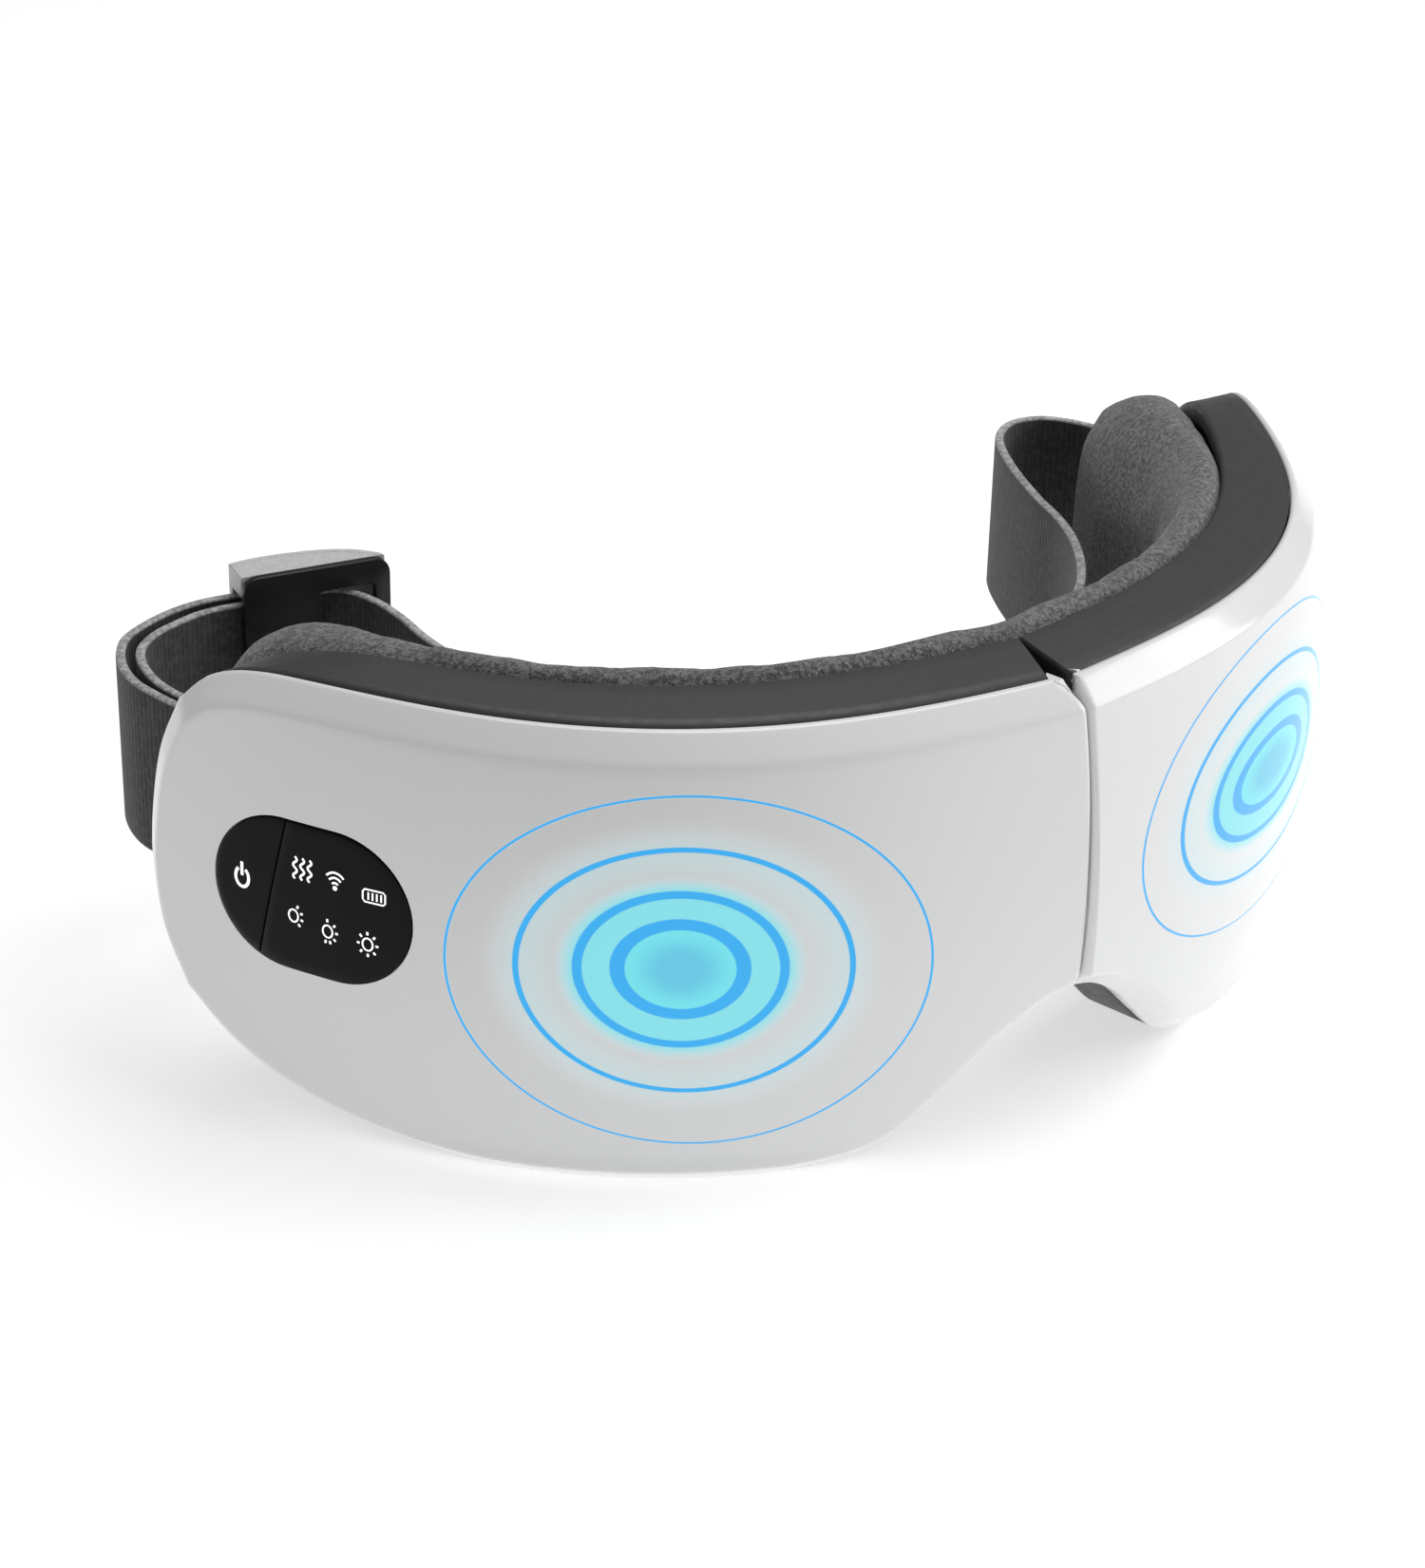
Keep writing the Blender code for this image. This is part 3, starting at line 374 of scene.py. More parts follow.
def shell_material(side):
    n = Nodes("shell_" + WORDS[side], (0.84, 0.845, 0.85), 0.2, Coat_Weight=0.35, Coat_Roughness=0.05)
    along, up = n.flat()
    reach = [ring_reach(n, along, up, side, ring) for ring in RINGS[side]]
    # Painted glow: a cyan halo along the rings and a blue middle, lit by emission though the shell is no lamp
    glow = n.span(reach[1], 5.5, -0.5, 0.0, 0.42)
    glow = n.math("MULTIPLY", glow, n.span(reach[1], -6.5, -0.5, 0.35, 1.0))
    glow = n.math("MAXIMUM", glow, n.span(reach[2], 4.5, 0.0, 0.0, 0.9))
    glow = n.math("MAXIMUM", glow, n.span(reach[3], 2.0, 0.5, 0.0, 0.96))
    speck = n.span(n.noise(900, 2), 0.3, 0.7, 0.985, 1.0)
    colour = n.mix(speck, (0.80, 0.80, 0.81), (0.85, 0.855, 0.86))
    colour = n.mix(glow, colour, GLOW_CYAN)
    colour = n.mix(n.span(reach[3], -1.0, -5.5, 0.0, 0.85), colour, CENTRE_BLUE)
    lines = None
    for value, (_, _, width) in zip(reach, RINGS[side]):
        line = n.span(n.math("ABSOLUTE", value), width / 2 + 0.1, width / 2 - 0.1)
        lines = line if lines is None else n.math("MAXIMUM", lines, line)
    colour = n.mix(lines, colour, RING_BLUE)
    # The printed rings and the painted glow are given an emission so that they glow, and the base colour goes dark
    # beneath them
    ring_print_and_glow = n.math("MAXIMUM", lines, glow)
    n.colour(n.mix(ring_print_and_glow, n.mix(speck, (0.80, 0.80, 0.81), (0.85, 0.855, 0.86)), (0.0, 0.01, 0.02)))
    n.set(n.shader.inputs["Emission Color"], colour)
    n.set(n.shader.inputs["Emission Strength"], n.math("MULTIPLY", ring_print_and_glow, 0.95))
    n.rough(0.2, 0.03, 300)
    n.bump(n.noise(260, 1), 0.02, 0.0003)
    return n.mat


def plain_plastic(name, colour, roughness, grain=0.12, spread=0.05, **constant):
    n = Nodes(name, colour, roughness, **constant)
    dark = tuple(c * 0.88 for c in colour)
    n.colour(n.mix(n.span(n.noise(1400, 2), 0.35, 0.65), dark, colour))
    n.rough(roughness, spread, 500)
    n.bump(n.noise(2600, 2), grain, 0.0001)
    return n.mat


def metal(name, colour, roughness):
    n = Nodes(name, colour, roughness, 1.0)
    n.rough(roughness, 0.08, 700)
    n.bump(n.noise(1800, 2), 0.1, 0.0001)
    return n.mat


def knit_material():
    """Heathered brushed knit: pale and dark fibres over a mid grey."""
    n = Nodes("heather_knit", (0.16, 0.16, 0.163), 0.95, Sheen_Weight=0.35, Sheen_Roughness=0.6)
    fine = n.noise(2300, 3, roughness=0.7)
    fibres = n.noise(1250, 3, roughness=0.62)
    patches = n.noise(150, 2)
    colour = n.mix(n.span(fibres, 0.40, 0.62), (0.06, 0.06, 0.062), (0.22, 0.22, 0.223))
    colour = n.mix(n.span(fine, 0.56, 0.70, 0, 0.85), colour, (0.46, 0.46, 0.465))
    colour = n.mix(n.span(patches, 0.3, 0.7, 0.0, 0.22), colour, (0.05, 0.05, 0.052))
    n.colour(colour)
    n.bump(n.math("ADD", fibres, fine), 0.75, 0.0006)
    return n.mat


def strap_material():
    """Ribbed elastic: fine ribs across the band and a pale cut edge, which is partly a painted highlight."""
    n = Nodes("elastic_ribs", (0.06, 0.06, 0.062), 0.85, Sheen_Weight=0.15)
    along, up = n.flat()
    rib = n.math("SINE", n.math("MULTIPLY", along, 2 * math.pi / 1.05))
    weave = n.math("SINE", n.math("MULTIPLY", up, 2 * math.pi / 0.55))
    shade = n.span(rib, -1, 1, smooth=False)
    colour = n.mix(shade, (0.022, 0.022, 0.023), (0.036, 0.036, 0.037))
    colour = n.mix(n.span(n.noise(900, 3), 0.4, 0.7, 0, 0.35), colour, (0.11, 0.11, 0.112))
    # The pale band along both edges is partly the cut edge's own tone and partly a painted highlight
    edge = n.span(n.math("ABSOLUTE", up), 13.45, 13.8)
    pale = n.mix(n.span(n.noise(1300, 2), 0.35, 0.65), (0.26, 0.26, 0.26), (0.5, 0.5, 0.5))
    n.colour(n.mix(edge, colour, pale))
    height = n.math("ADD", rib, n.math("MULTIPLY", weave, 0.25))
    n.bump(height, 0.3, 0.00008)
    return n.mat


SHELLS = {side: shell_material(side) for side in (LEFT, RIGHT)}
TRAY = plain_plastic("charcoal_housing", (0.045, 0.045, 0.047), 0.5, Specular_IOR_Level=0.5)
PANEL = plain_plastic("panel_black", (0.002, 0.002, 0.0025), 0.12, grain=0.01, spread=0.03,
                      Specular_IOR_Level=0.12)
ICON = plain_plastic("icon_white", (0.9, 0.9, 0.9), 0.5, Emission_Strength=0.9)
ICON.node_tree.nodes["Principled BSDF"].inputs["Emission Color"].default_value = (0.9, 0.9, 0.9, 1)
KNIT = knit_material()
ELASTIC = strap_material()
PLATE = plain_plastic("buckle_black", (0.012, 0.012, 0.013), 0.33)
COVER = plain_plastic("buckle_grey", (0.66, 0.66, 0.67), 0.38)
ANCHOR = plain_plastic("anchor_charcoal", (0.03, 0.03, 0.032), 0.45)
CAD_LOOKS = {
    "steel": metal("bright_steel", (0.6, 0.61, 0.63), 0.3),
    "board_green": plain_plastic("solder_mask", (0.02, 0.16, 0.08), 0.45),
    "battery_foil": metal("pouch_foil", (0.62, 0.64, 0.67), 0.35),
    "silicone": plain_plastic("soft_silicone", (0.42, 0.43, 0.45), 0.6),
    "copper_film": plain_plastic("polyimide_film", (0.62, 0.33, 0.12), 0.45),
    "charcoal_plastic": ANCHOR,
    "pale_plastic": plain_plastic("pale_moulding", (0.62, 0.63, 0.64), 0.4),
}


# ---------------------------------------------------------------- shells and trays

# (share of the bevel's width, drop behind the face in mm)
BEVEL = [(0, 3.65), (0.02, 3.42), (0.07, 3.2), (0.3, 2.38), (0.55, 1.5), (0.78, 0.68), (0.88, 0.38),
         (0.97, 0.18), (1.07, 0.06), (1.2, 0.0)]
BEVEL_WIDTH = (3.6 - 0.6 * LOWER) * MM


def split_start(side, up):
    """Where a shell begins beside the split; the left shell's top corner curves away from it."""
    if side == RIGHT:
        return np.full_like(up, SPLIT_GAP)
    rise = np.clip((up + 4.5 * MM) / (4.5 * MM), 0, 1)
    return SPLIT_GAP + 3.3 * MM * rise ** 2


def shell_points(side, flat, out):
    """Bend (along, up) points at a distance `out`, with the split edge rounded over."""
    along, up = flat[:, 0], flat[:, 1]
    begin = split_start(side, up)
    moved = np.where(along < 12 * MM, begin + along * (1 - begin / (12 * MM)), along)
    near = np.clip(SPLIT_ROUND - (moved - begin), 0, SPLIT_ROUND)
    roll = SPLIT_ROUND - np.sqrt(SPLIT_ROUND ** 2 - near ** 2)
    out = np.where(out > 1 * MM, out - roll, out)
    return bend(np.stack([moved, out, up], 1), side)


def loft_closed(loops, grid_points, grid_flat, flats):
    """Vertices, faces and flat coordinates of closed loops joined up, with a patch on the last loop."""
    total = 2 * N + 2 * M
    verts = np.concatenate(loops + [grid_points[1:N, 1:M].reshape(-1, 3)])
    flat = np.concatenate(flats + [grid_flat[1:N, 1:M].reshape(-1, 2)])
    faces = []
    for k in range(len(loops) - 1):
        a, b = k * total, (k + 1) * total
        for i in range(total):
            j = (i + 1) % total
            faces.append((a + i, a + j, b + j, b + i))
    index = cap_index((len(loops) - 1) * total)
    for i in range(N):
        for j in range(M):
            quad = (index[i, j], index[i + 1, j], index[i + 1, j + 1], index[i, j + 1])
            faces.append(quad)
    return verts, faces, flat


def keep_clear(obj, side):
    """Keep a half's wall on its own side of the split."""
    for vert in obj.data.vertices:
        if side * vert.co.x < SPLIT_GAP:
            vert.co.x = side * SPLIT_GAP
    return obj


def make_shell(side):
    loops, flats = [], []
    rim = closed(RIM)
    loops.append(shell_points(side, rim, np.zeros(len(rim))))
    flats.append(rim)
    for share, drop in BEVEL:
        ring = closed(inset(BEVEL_WIDTH * share))
        loops.append(shell_points(side, ring, face_out(ring[:, 0], ring[:, 1]) - drop * MM))
        flats.append(ring)
    grid = patch(inset(BEVEL_WIDTH * BEVEL[-1][0]))
    rows = grid.reshape(-1, 2)
    front = shell_points(side, rows, face_out(rows[:, 0], rows[:, 1])).reshape(*grid.shape[:2], 3)
    verts, faces, flat = loft_closed(loops, front, grid, flats)
    obj = make_object("shell_" + WORDS[side], verts, faces, SHELLS[side], flat)
    face_towards(obj, (0, -1, 0), -N * M)
    wall = obj.modifiers.new("wall", "SOLIDIFY")
    wall.thickness, wall.offset = 1.6 * MM, -1
    return keep_clear(apply_modifiers(obj), side)


def tray_start(side, out):
    lean = 3.6 * MM if side == LEFT else 0.0
    return SPLIT_GAP + lean * np.maximum(0.0, 1 + out / TRAY_DEPTH)


def tray_points(side, flat, out):
    along, up = flat[:, 0], flat[:, 1]
    begin = tray_start(side, out)
    moved = np.where(along < 12 * MM, begin + along * (1 - begin / (12 * MM)), along)
    return bend(np.stack([moved, out, up - temple_drop(along, up, out)], 1), side)


def temple_drop(along, up, out):
    """How far the upper edge of the tray slopes down towards its back, near the temple."""
    s = np.clip((along - TEMPLE_START) / TEMPLE_RUN, 0, 1)
    deep = np.clip(-out / (TRAY_DEPTH - TRAY_TAPER), 0, 1)
    high = np.clip((up - TEMPLE_FOOT) / (20 * MM), 0, 1)
    return TEMPLE_DROP * s * s * (3 - 2 * s) * deep * high


def make_tray(side):
    grow = np.maximum(-INWARD[:, 1], 0) * TRAY_DRAFT
    depth = np.array([tray_depth(a) for a in RIM[:, 0]])
    loops, flats = [], []

    def add(ring_inset, out):
        ring = closed(inset(ring_inset))
        out = np.concatenate([out, np.linspace(out[-1], out[0], M + 1)[1:-1]])
        loops.append(tray_points(side, ring, out))
        flats.append(ring)

    edge = 0.7 * MM
    for t in (0.0, 0.25, 0.5, 0.75):
        add(-grow * t, -0.3 * MM - (depth - edge - 0.3 * MM) * t)
    for angle in (0, 22, 45, 68, 90):
        a = math.radians(angle)
        add(-grow + edge * (1 - math.cos(a)), -depth + edge - edge * math.sin(a))
    add(2.6 * MM - grow, -depth)
    add(np.full(len(RIM), 4.3 * MM), 2 * MM - depth)
    grid = patch(inset(4.3 * MM))
    rows = grid.reshape(-1, 2)
    floor = tray_points(side, rows, 2 * MM - tray_depth(rows[:, 0])).reshape(*grid.shape[:2], 3)
    verts, faces, flat = loft_closed(loops, floor, grid, flats)
    obj = make_object("tray_" + WORDS[side], verts, faces, TRAY, flat)
    face_towards(obj, (0, 1, 0), -N * M)
    wall = obj.modifiers.new("wall", "SOLIDIFY")
    wall.thickness, wall.offset = 1.2 * MM, -1
    return keep_clear(apply_modifiers(obj), side)


shells, trays = {}, {}
for half in (LEFT, RIGHT):
    body = WORDS[half] + "_half"
    shells[half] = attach(make_shell(half), body)
    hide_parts("front_shell_" + WORDS[half])
    trays[half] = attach(make_tray(half), body)
    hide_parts("rear_tray_" + WORDS[half])


# ---------------------------------------------------------------- panel, key and icons

PANEL_MIDDLE = np.array((111.4, -31.4)) * MM
PANEL_SIZE = (32.2 * MM, 24.0 * MM)
DIVIDER = ((115.2, -20.0), (119.8, -40.8))


def stadium_outline(middle, length, height, grow=0.0, count=40):
    radius = height / 2 + grow
    half = length / 2 - height / 2
    turn = np.linspace(-math.pi / 2, math.pi / 2, count)
    right = np.stack([half + radius * np.cos(turn), radius * np.sin(turn)], 1)
    return np.concatenate([right, -right]) + middle


def clip_side(outline, keep_far, gap):
    """The part of an outline on one side of the panel's slanting divider."""
    (a0, u0), (a1, u1) = [np.array(p) * MM for p in DIVIDER]
    run = np.array((a1 - a0, u1 - u0))
    across = np.array((-run[1], run[0])) / np.linalg.norm(run)
    if across[0] < 0:
        across = -across
    reach = ((outline - (a0, u0)) @ across) * (1 if keep_far else -1) - gap
    kept = []
    for k in range(len(outline)):
        j = (k + 1) % len(outline)
        if reach[k] >= 0:
            kept.append(outline[k])
        if (reach[k] >= 0) != (reach[j] >= 0):
            t = reach[k] / (reach[k] - reach[j])
            kept.append(outline[k] + (outline[j] - outline[k]) * t)
    corners = np.array(kept)
    run = np.concatenate([[0], np.cumsum(np.linalg.norm(np.diff(np.vstack([corners, corners[:1]]), axis=0), axis=1))])
    ring = np.vstack([corners, corners[:1]])
    where = np.linspace(0, run[-1], 97)[:-1]
    return np.stack([np.interp(where, run, ring[:, k]) for k in range(2)], 1)


def face_slab(name, outline, mat, side, low, high, soft=0.25 * MM):
    """A thin slab that follows the front face, with softened edges."""
    middle = outline.mean(0)
    reach = np.linalg.norm(outline - middle, axis=1)[:, None]
    rings, outs = [], []
    for pull, out in ((0, low), (0, high - soft), (soft * 0.3, high - soft * 0.3), (soft, high)):
        rings.append(middle + (outline - middle) * (1 - pull / reach))
        outs.append(out)
    for share in (0.85, 0.7, 0.55, 0.4, 0.25, 0.1):
        rings.append(middle + (outline - middle) * share)
        outs.append(high)
    count = len(outline)
    verts, flat, faces = [], [], []
    for ring, out in zip(rings, outs):
        face = face_out(ring[:, 0], ring[:, 1])
        verts.append(bend(np.stack([ring[:, 0], face + out, ring[:, 1]], 1), side))
        flat.append(ring)
    for k in range(len(rings) - 1):
        for i in range(count):
            j = (i + 1) % count
            faces.append((k * count + i, k * count + j, (k + 1) * count + j, (k + 1) * count + i))
    faces.append(tuple(range((len(rings) - 1) * count, len(rings) * count)))
    faces.append(tuple(range(count))[::-1])
    obj = make_object(name, np.concatenate(verts), faces, mat, np.concatenate(flat))
    return sharp_by_angle(orient(obj), 50)


def cut_recess(shell):
    """Sink the panel's recess into the left shell."""
    outline = stadium_outline(PANEL_MIDDLE, *PANEL_SIZE, grow=0.15 * MM)
    cutter = face_slab("recess", outline, SHELLS[LEFT], LEFT, -1.25 * MM, 2 * MM, 0.01 * MM)
    hole = shell.modifiers.new("hole", "BOOLEAN")
    hole.operation, hole.solver, hole.object = "DIFFERENCE", "EXACT", cutter
    apply_modifiers(shell)
    bpy.data.objects.remove(cutter)
    sharp_by_angle(shell, 30)


cut_recess(shells[LEFT])
whole = stadium_outline(PANEL_MIDDLE, *PANEL_SIZE)
window = face_slab("panel_glass", clip_side(whole, False, 0.06 * MM), PANEL, LEFT, -1.2 * MM, 0.03 * MM)
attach(window, "left_half")
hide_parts("panel_window")
key = face_slab("power_key_cap", clip_side(whole, True, 0.06 * MM), PANEL, LEFT, -0.65 * MM, 0.03 * MM)
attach(key, "power_key")
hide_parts("power_key")


def stroke(points, width, close=False):
    """A flat band of constant width along a 2D line, as vertices and faces."""
    p = np.array(points, float)
    if close:
        run = np.roll(p, -1, 0) - np.roll(p, 1, 0)
    else:
        run = np.gradient(p, axis=0)
    run /= np.linalg.norm(run, axis=1)[:, None]
    side = np.stack([-run[:, 1], run[:, 0]], 1) * width / 2
    verts = np.concatenate([p + side, p - side])
    n = len(p)
    last = n if close else n - 1
    faces = [(i, (i + 1) % n, n + (i + 1) % n, n + i) for i in range(last)]
    return verts, faces


def arc(middle, rx, ry, start=0, end=360, count=33):
    t = np.radians(np.linspace(start, end, count))
    return np.stack([middle[0] + rx * np.cos(t), middle[1] + ry * np.sin(t)], 1)


def ring_stroke(middle, rx, ry, width):
    return stroke(arc(middle, rx, ry, 0, 360, 41)[:-1], width, True)


def sun(middle, angles):
    """A warmth level: a ring with short rays at the given angles."""
    shapes = [ring_stroke(middle, 0.78, 1.0, 0.26)]
    for angle in angles:
        a = math.radians(angle)
        ray = [(middle[0] + math.cos(a) * r * 0.85, middle[1] + math.sin(a) * r * 1.05) for r in (1.45, 1.95)]
        shapes.append(stroke(ray, 0.34))
    return shapes


def icon_object(name, shapes, body):
    verts, faces = [], []
    for v, f in shapes:
        base = sum(len(x) for x in verts)
        verts.append(v)
        faces += [tuple(base + i for i in face) for face in f]
    flat = np.concatenate(verts) * MM
    out = face_out(flat[:, 0], flat[:, 1]) + 0.05 * MM
    obj = make_object(name, bend(np.stack([flat[:, 0], out, flat[:, 1]], 1), LEFT), faces, ICON, flat)
    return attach(obj, body)


icon_object("icon_power", [stroke(arc((122.7, -30.7), 1.15, 1.55, 122, 418), 0.5),
                           stroke([(122.7, -30.4), (122.7, -28.2)], 0.5)], "power_key")
marks = []
for column in (-1.2, 0.0, 1.2):           # three wavy lines stand for vibration
    t = np.linspace(-1.75, 1.75, 31)
    wave = np.stack([112.3 + column + 0.32 * np.sin(t * 2 * math.pi / 1.75), -26.5 + t], 1)
    marks.append(stroke(wave, 0.34))
for radius in (0.8, 1.6, 2.4):            # a generic wireless mark: three arcs over a dot
    marks.append(stroke(arc((107.0, -28.0), radius * 0.8, radius, 45, 135, 17), 0.32))
marks.append(stroke(arc((107.0, -28.05), 0.18, 0.2, 0, 360, 13)[:-1], 0.36, True))
corners = [(-1.55, -1.0), (1.25, -1.0), (1.55, -0.7), (1.55, 0.7), (1.25, 1.0), (-1.55, 1.0), (-1.85, 0.6), (-1.85, -0.6)]
marks.append(stroke([(100.8 - a, -27.9 + u) for a, u in corners], 0.26, True))
for bar in (-0.95, -0.3, 0.35, 1.0):
    marks.append(stroke([(100.8 + bar, -28.5), (100.8 + bar, -27.3)], 0.26))
marks += sun((113.9, -34.4), (-130, -165, 160, 120))
marks += sun((108.3, -35.4), (90, 140, 180, -140, -105, -75))
marks += sun((102.0, -35.8), (0, 45, 90, 135, 180, 225, 270, 315))
icon_object("icons", marks, "left_half")


# ---------------------------------------------------------------- strap

def along_band(points, spacing=0.8 * MM):
    line = smooth_line(points, count=400)
    length = np.linalg.norm(np.diff(line, axis=0), axis=1).sum()
    return smooth_line(points, count=int(length / spacing) + 2)


def ribbon(name, plan, phase=0.0):
    """A vertical elastic band along a floor-plan line; its flat map runs along the band and up it."""
    line = along_band(plan)
    run = np.gradient(line, axis=0)
    run /= np.linalg.norm(run, axis=1)[:, None]
    side = np.stack([-run[:, 1], run[:, 0]], 1)
    dist = phase + np.concatenate([[0], np.cumsum(np.linalg.norm(np.diff(line, axis=0), axis=1))])
    half, thick, soft = STRAP_WIDTH / 2, STRAP_THICK / 2, 0.45 * MM
    section = []
    for q in range(4):
        for angle in (0, 30, 60, 90):
            a = math.radians(angle + 90 * q)
            cx = (thick - soft) * (1 if q in (0, 3) else -1)
            cz = (half - soft) * (1 if q in (0, 1) else -1)
            section.append((cx + soft * math.cos(a), cz + soft * math.sin(a)))
    rows = 9                                # spare rows down both faces
    full = []
    for k in range(len(section)):
        a, b = np.array(section[k]), np.array(section[(k + 1) % len(section)])
        full.append(a)
        if abs(b[1] - a[1]) > half:
            full += [a + (b - a) * t for t in np.linspace(0, 1, rows + 2)[1:-1]]
    section = np.array(full)
    count = len(section)
    verts = np.concatenate([
        np.stack([p[0] + s[0] * section[:, 0], p[1] + s[1] * section[:, 0] + DATUM_Y,
                  STRAP_MIDDLE + section[:, 1]], 1) for p, s in zip(line, side)])
    flat = np.concatenate([np.stack([np.full(count, d), section[:, 1]], 1) for d in dist])
    faces = []
    for k in range(len(line) - 1):
        for i in range(count):
            j = (i + 1) % count
            faces.append((k * count + i, k * count + j, (k + 1) * count + j, (k + 1) * count + i))
    faces.append(tuple(range(count)))
    faces.append(tuple(range((len(line) - 1) * count, len(line) * count))[::-1])
    obj = make_object(name, verts, faces, ELASTIC, flat)
    return orient(obj)


def anchor_end(out):
    """Where the band leaves an anchor bar, in millimetres on the floor plan."""
    p = bend(np.array((146.4 * MM + 1.2 * MM, -5.8 * MM + out * MM, 0)), RIGHT)
    return -p[0] / MM, (p[1] - DATUM_Y) / MM


OUTER = [(-92.6, 86), (-94.3, 92), (-95.4, 97.7), (-95.9, 103), (-94.9, 108.7), (-92.6, 113.8), (-89, 117.9),
         (-82, 121.2), (-75.5, 122.5), (-69.1, 121.9), (-63.3, 120.1)]
INNER = [(-90.0, 87), (-91.8, 92), (-92.9, 97), (-93.1, 102.2), (-92, 107.9), (-89.7, 112.6), (-85.5, 116),
         (-80, 118), (-75, 118.9), (-69.3, 118.3), (-58.5, 116.2)]
EXIT = [(-57.6, 116), (-54.7, 115.2), (-52.6, 113.6), (-51.2, 110.6), (-50.4, 106), (-50.4, 100), (-51.2, 92),
        (-51.2, 82)]
CAVITY = [(-51.2, 82), (-47.6, 69), (-40, 55.5), (-30, 43), (-16, 33), (0, 29.2), (16, 32), (29, 38),
          (39, 44.2), (48, 51.2), (55.6, 60.4), (61.3, 70.9), (65, 82), (69.4, 93), (74, 102), (78, 107),
          (83, 109.6), (88.4, 108.6), (92, 104.6), (95, 98.5), (-anchor_end(-0.6)[0], anchor_end(-0.6)[1])]

outer = ribbon("strap_outer", OUTER)
inner = ribbon("strap_inner", INNER)
leaving = ribbon("strap_leaving", EXIT)
cavity = ribbon("strap_cavity", CAVITY)
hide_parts("strap_outer_layer")
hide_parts("strap_inner_layer")
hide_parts("strap_inside_run")
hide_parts("strap_right_run")
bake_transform(outer)
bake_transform(inner)
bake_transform(leaving)
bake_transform(cavity)


# ---------------------------------------------------------------- buckle and anchors

BUCKLE_MIDDLE = np.array((-59.25, 112.6))   # middle of the plate's front in its own outlines, mm
BUCKLE_PLACE = np.array((-57.8, 113.25))    # where that middle stands on the floor plan, mm
BUCKLE_TURN = math.radians(-11)
HALF_BUCKLE = 19.0


def buckle_place(outline, up):
    """World positions of buckle outline points (x, y) in mm, at heights `up` in mm from the band's middle."""
    p = np.asarray(outline, float) - BUCKLE_MIDDLE
    c, s = math.cos(BUCKLE_TURN), math.sin(BUCKLE_TURN)
    x = p[:, 0] * c - p[:, 1] * s + BUCKLE_PLACE[0]
    y = p[:, 0] * s + p[:, 1] * c + BUCKLE_PLACE[1]
    return np.stack([x * MM, y * MM + DATUM_Y, np.asarray(up, float) * MM + STRAP_MIDDLE], 1)


def rounded_rect(width, height, radius, count=7):
    points = []
    for q, (sx, sy) in enumerate(((1, 1), (-1, 1), (-1, -1), (1, -1))):
        for t in np.linspace(0, 90, count):
            a = math.radians(t + 90 * q)
            points.append((sx * (width / 2 - radius) + radius * math.cos(a),
                           sy * (height / 2 - radius) + radius * math.sin(a)))
    return np.array(points)


def make_plate():
    """The dark slotted plate; its outline lies in the X-Z plane."""
    outer_ring = rounded_rect(24.5, 2 * HALF_BUCKLE, 2.6)
    hole = rounded_rect(9.4, STRAP_WIDTH / MM + 1.6, 0.9)
    outer_ring += (-59.25, 0)
    hole += (-54.3, 0)
    count = len(outer_ring)
    rings = []
    for pull, y in ((0.35, 112.55), (0.1, 112.65), (0, 112.9), (0, 113.85), (0.1, 114.05), (0.35, 114.12)):
        shrink = 1 - pull / np.linalg.norm(outer_ring - (-59.25, 0), axis=1)[:, None]
        ring = (outer_ring - (-59.25, 0)) * shrink + (-59.25, 0)
        rings.append((ring, y))
    for grow, y in ((0.3, 114.12), (0, 113.85), (0, 112.85), (0.3, 112.55)):
        stretch = 1 + grow / np.linalg.norm(hole - (-54.3, 0), axis=1)[:, None]
        rings.append(((hole - (-54.3, 0)) * stretch + (-54.3, 0), y))
    verts = np.concatenate([buckle_place(np.stack([r[:, 0], np.full(count, y)], 1), r[:, 1]) for r, y in rings])
    faces = []
    for k in range(len(rings)):
        a, b = k * count, ((k + 1) % len(rings)) * count
        for i in range(count):
            j = (i + 1) % count
            faces.append((a + i, a + j, b + j, b + i))
    obj = make_object("plate", verts, faces, PLATE)
    return sharp_by_angle(orient(obj), 40)


def make_cover():
    """The pale cover behind the plate, a curved channel that the band runs through."""
    outside = smooth_line([(-47.3, 114.5), (-47.6, 115.5), (-51.5, 118.6), (-58, 120.7), (-66, 121.2),
                           (-71.3, 120.6)], count=40) / MM
    wall = 1.2
    run = np.gradient(outside, axis=0)
    run /= np.linalg.norm(run, axis=1)[:, None]
    inside = outside + np.stack([-run[:, 1], run[:, 0]], 1) * -wall * -1
    half = HALF_BUCKLE - 0.3
    heights = [-half, -half + 0.25, half - 0.25, half]
    pulls = [0.25, 0.0, 0.0, 0.25]
    verts, faces = [], []
    count = len(outside)
    loop = 2 * count
    for z, pull in zip(heights, pulls):
        out = outside + (inside - outside) * pull / wall
        ring = np.concatenate([out, inside[::-1]])
        verts.append(buckle_place(ring, np.full(loop, z)))
    for k in range(len(heights) - 1):
        for i in range(loop):
            j = (i + 1) % loop
            faces.append((k * loop + i, k * loop + j, (k + 1) * loop + j, (k + 1) * loop + i))
    for base in (0, (len(heights) - 1) * loop):
        for i in range(count - 1):
            faces.append((base + i, base + i + 1, base + loop - 2 - i, base + loop - 1 - i))
    walls = make_object("cover", np.concatenate(verts), faces, COVER)
    orient(walls)
    return sharp_by_angle(walls, 40)


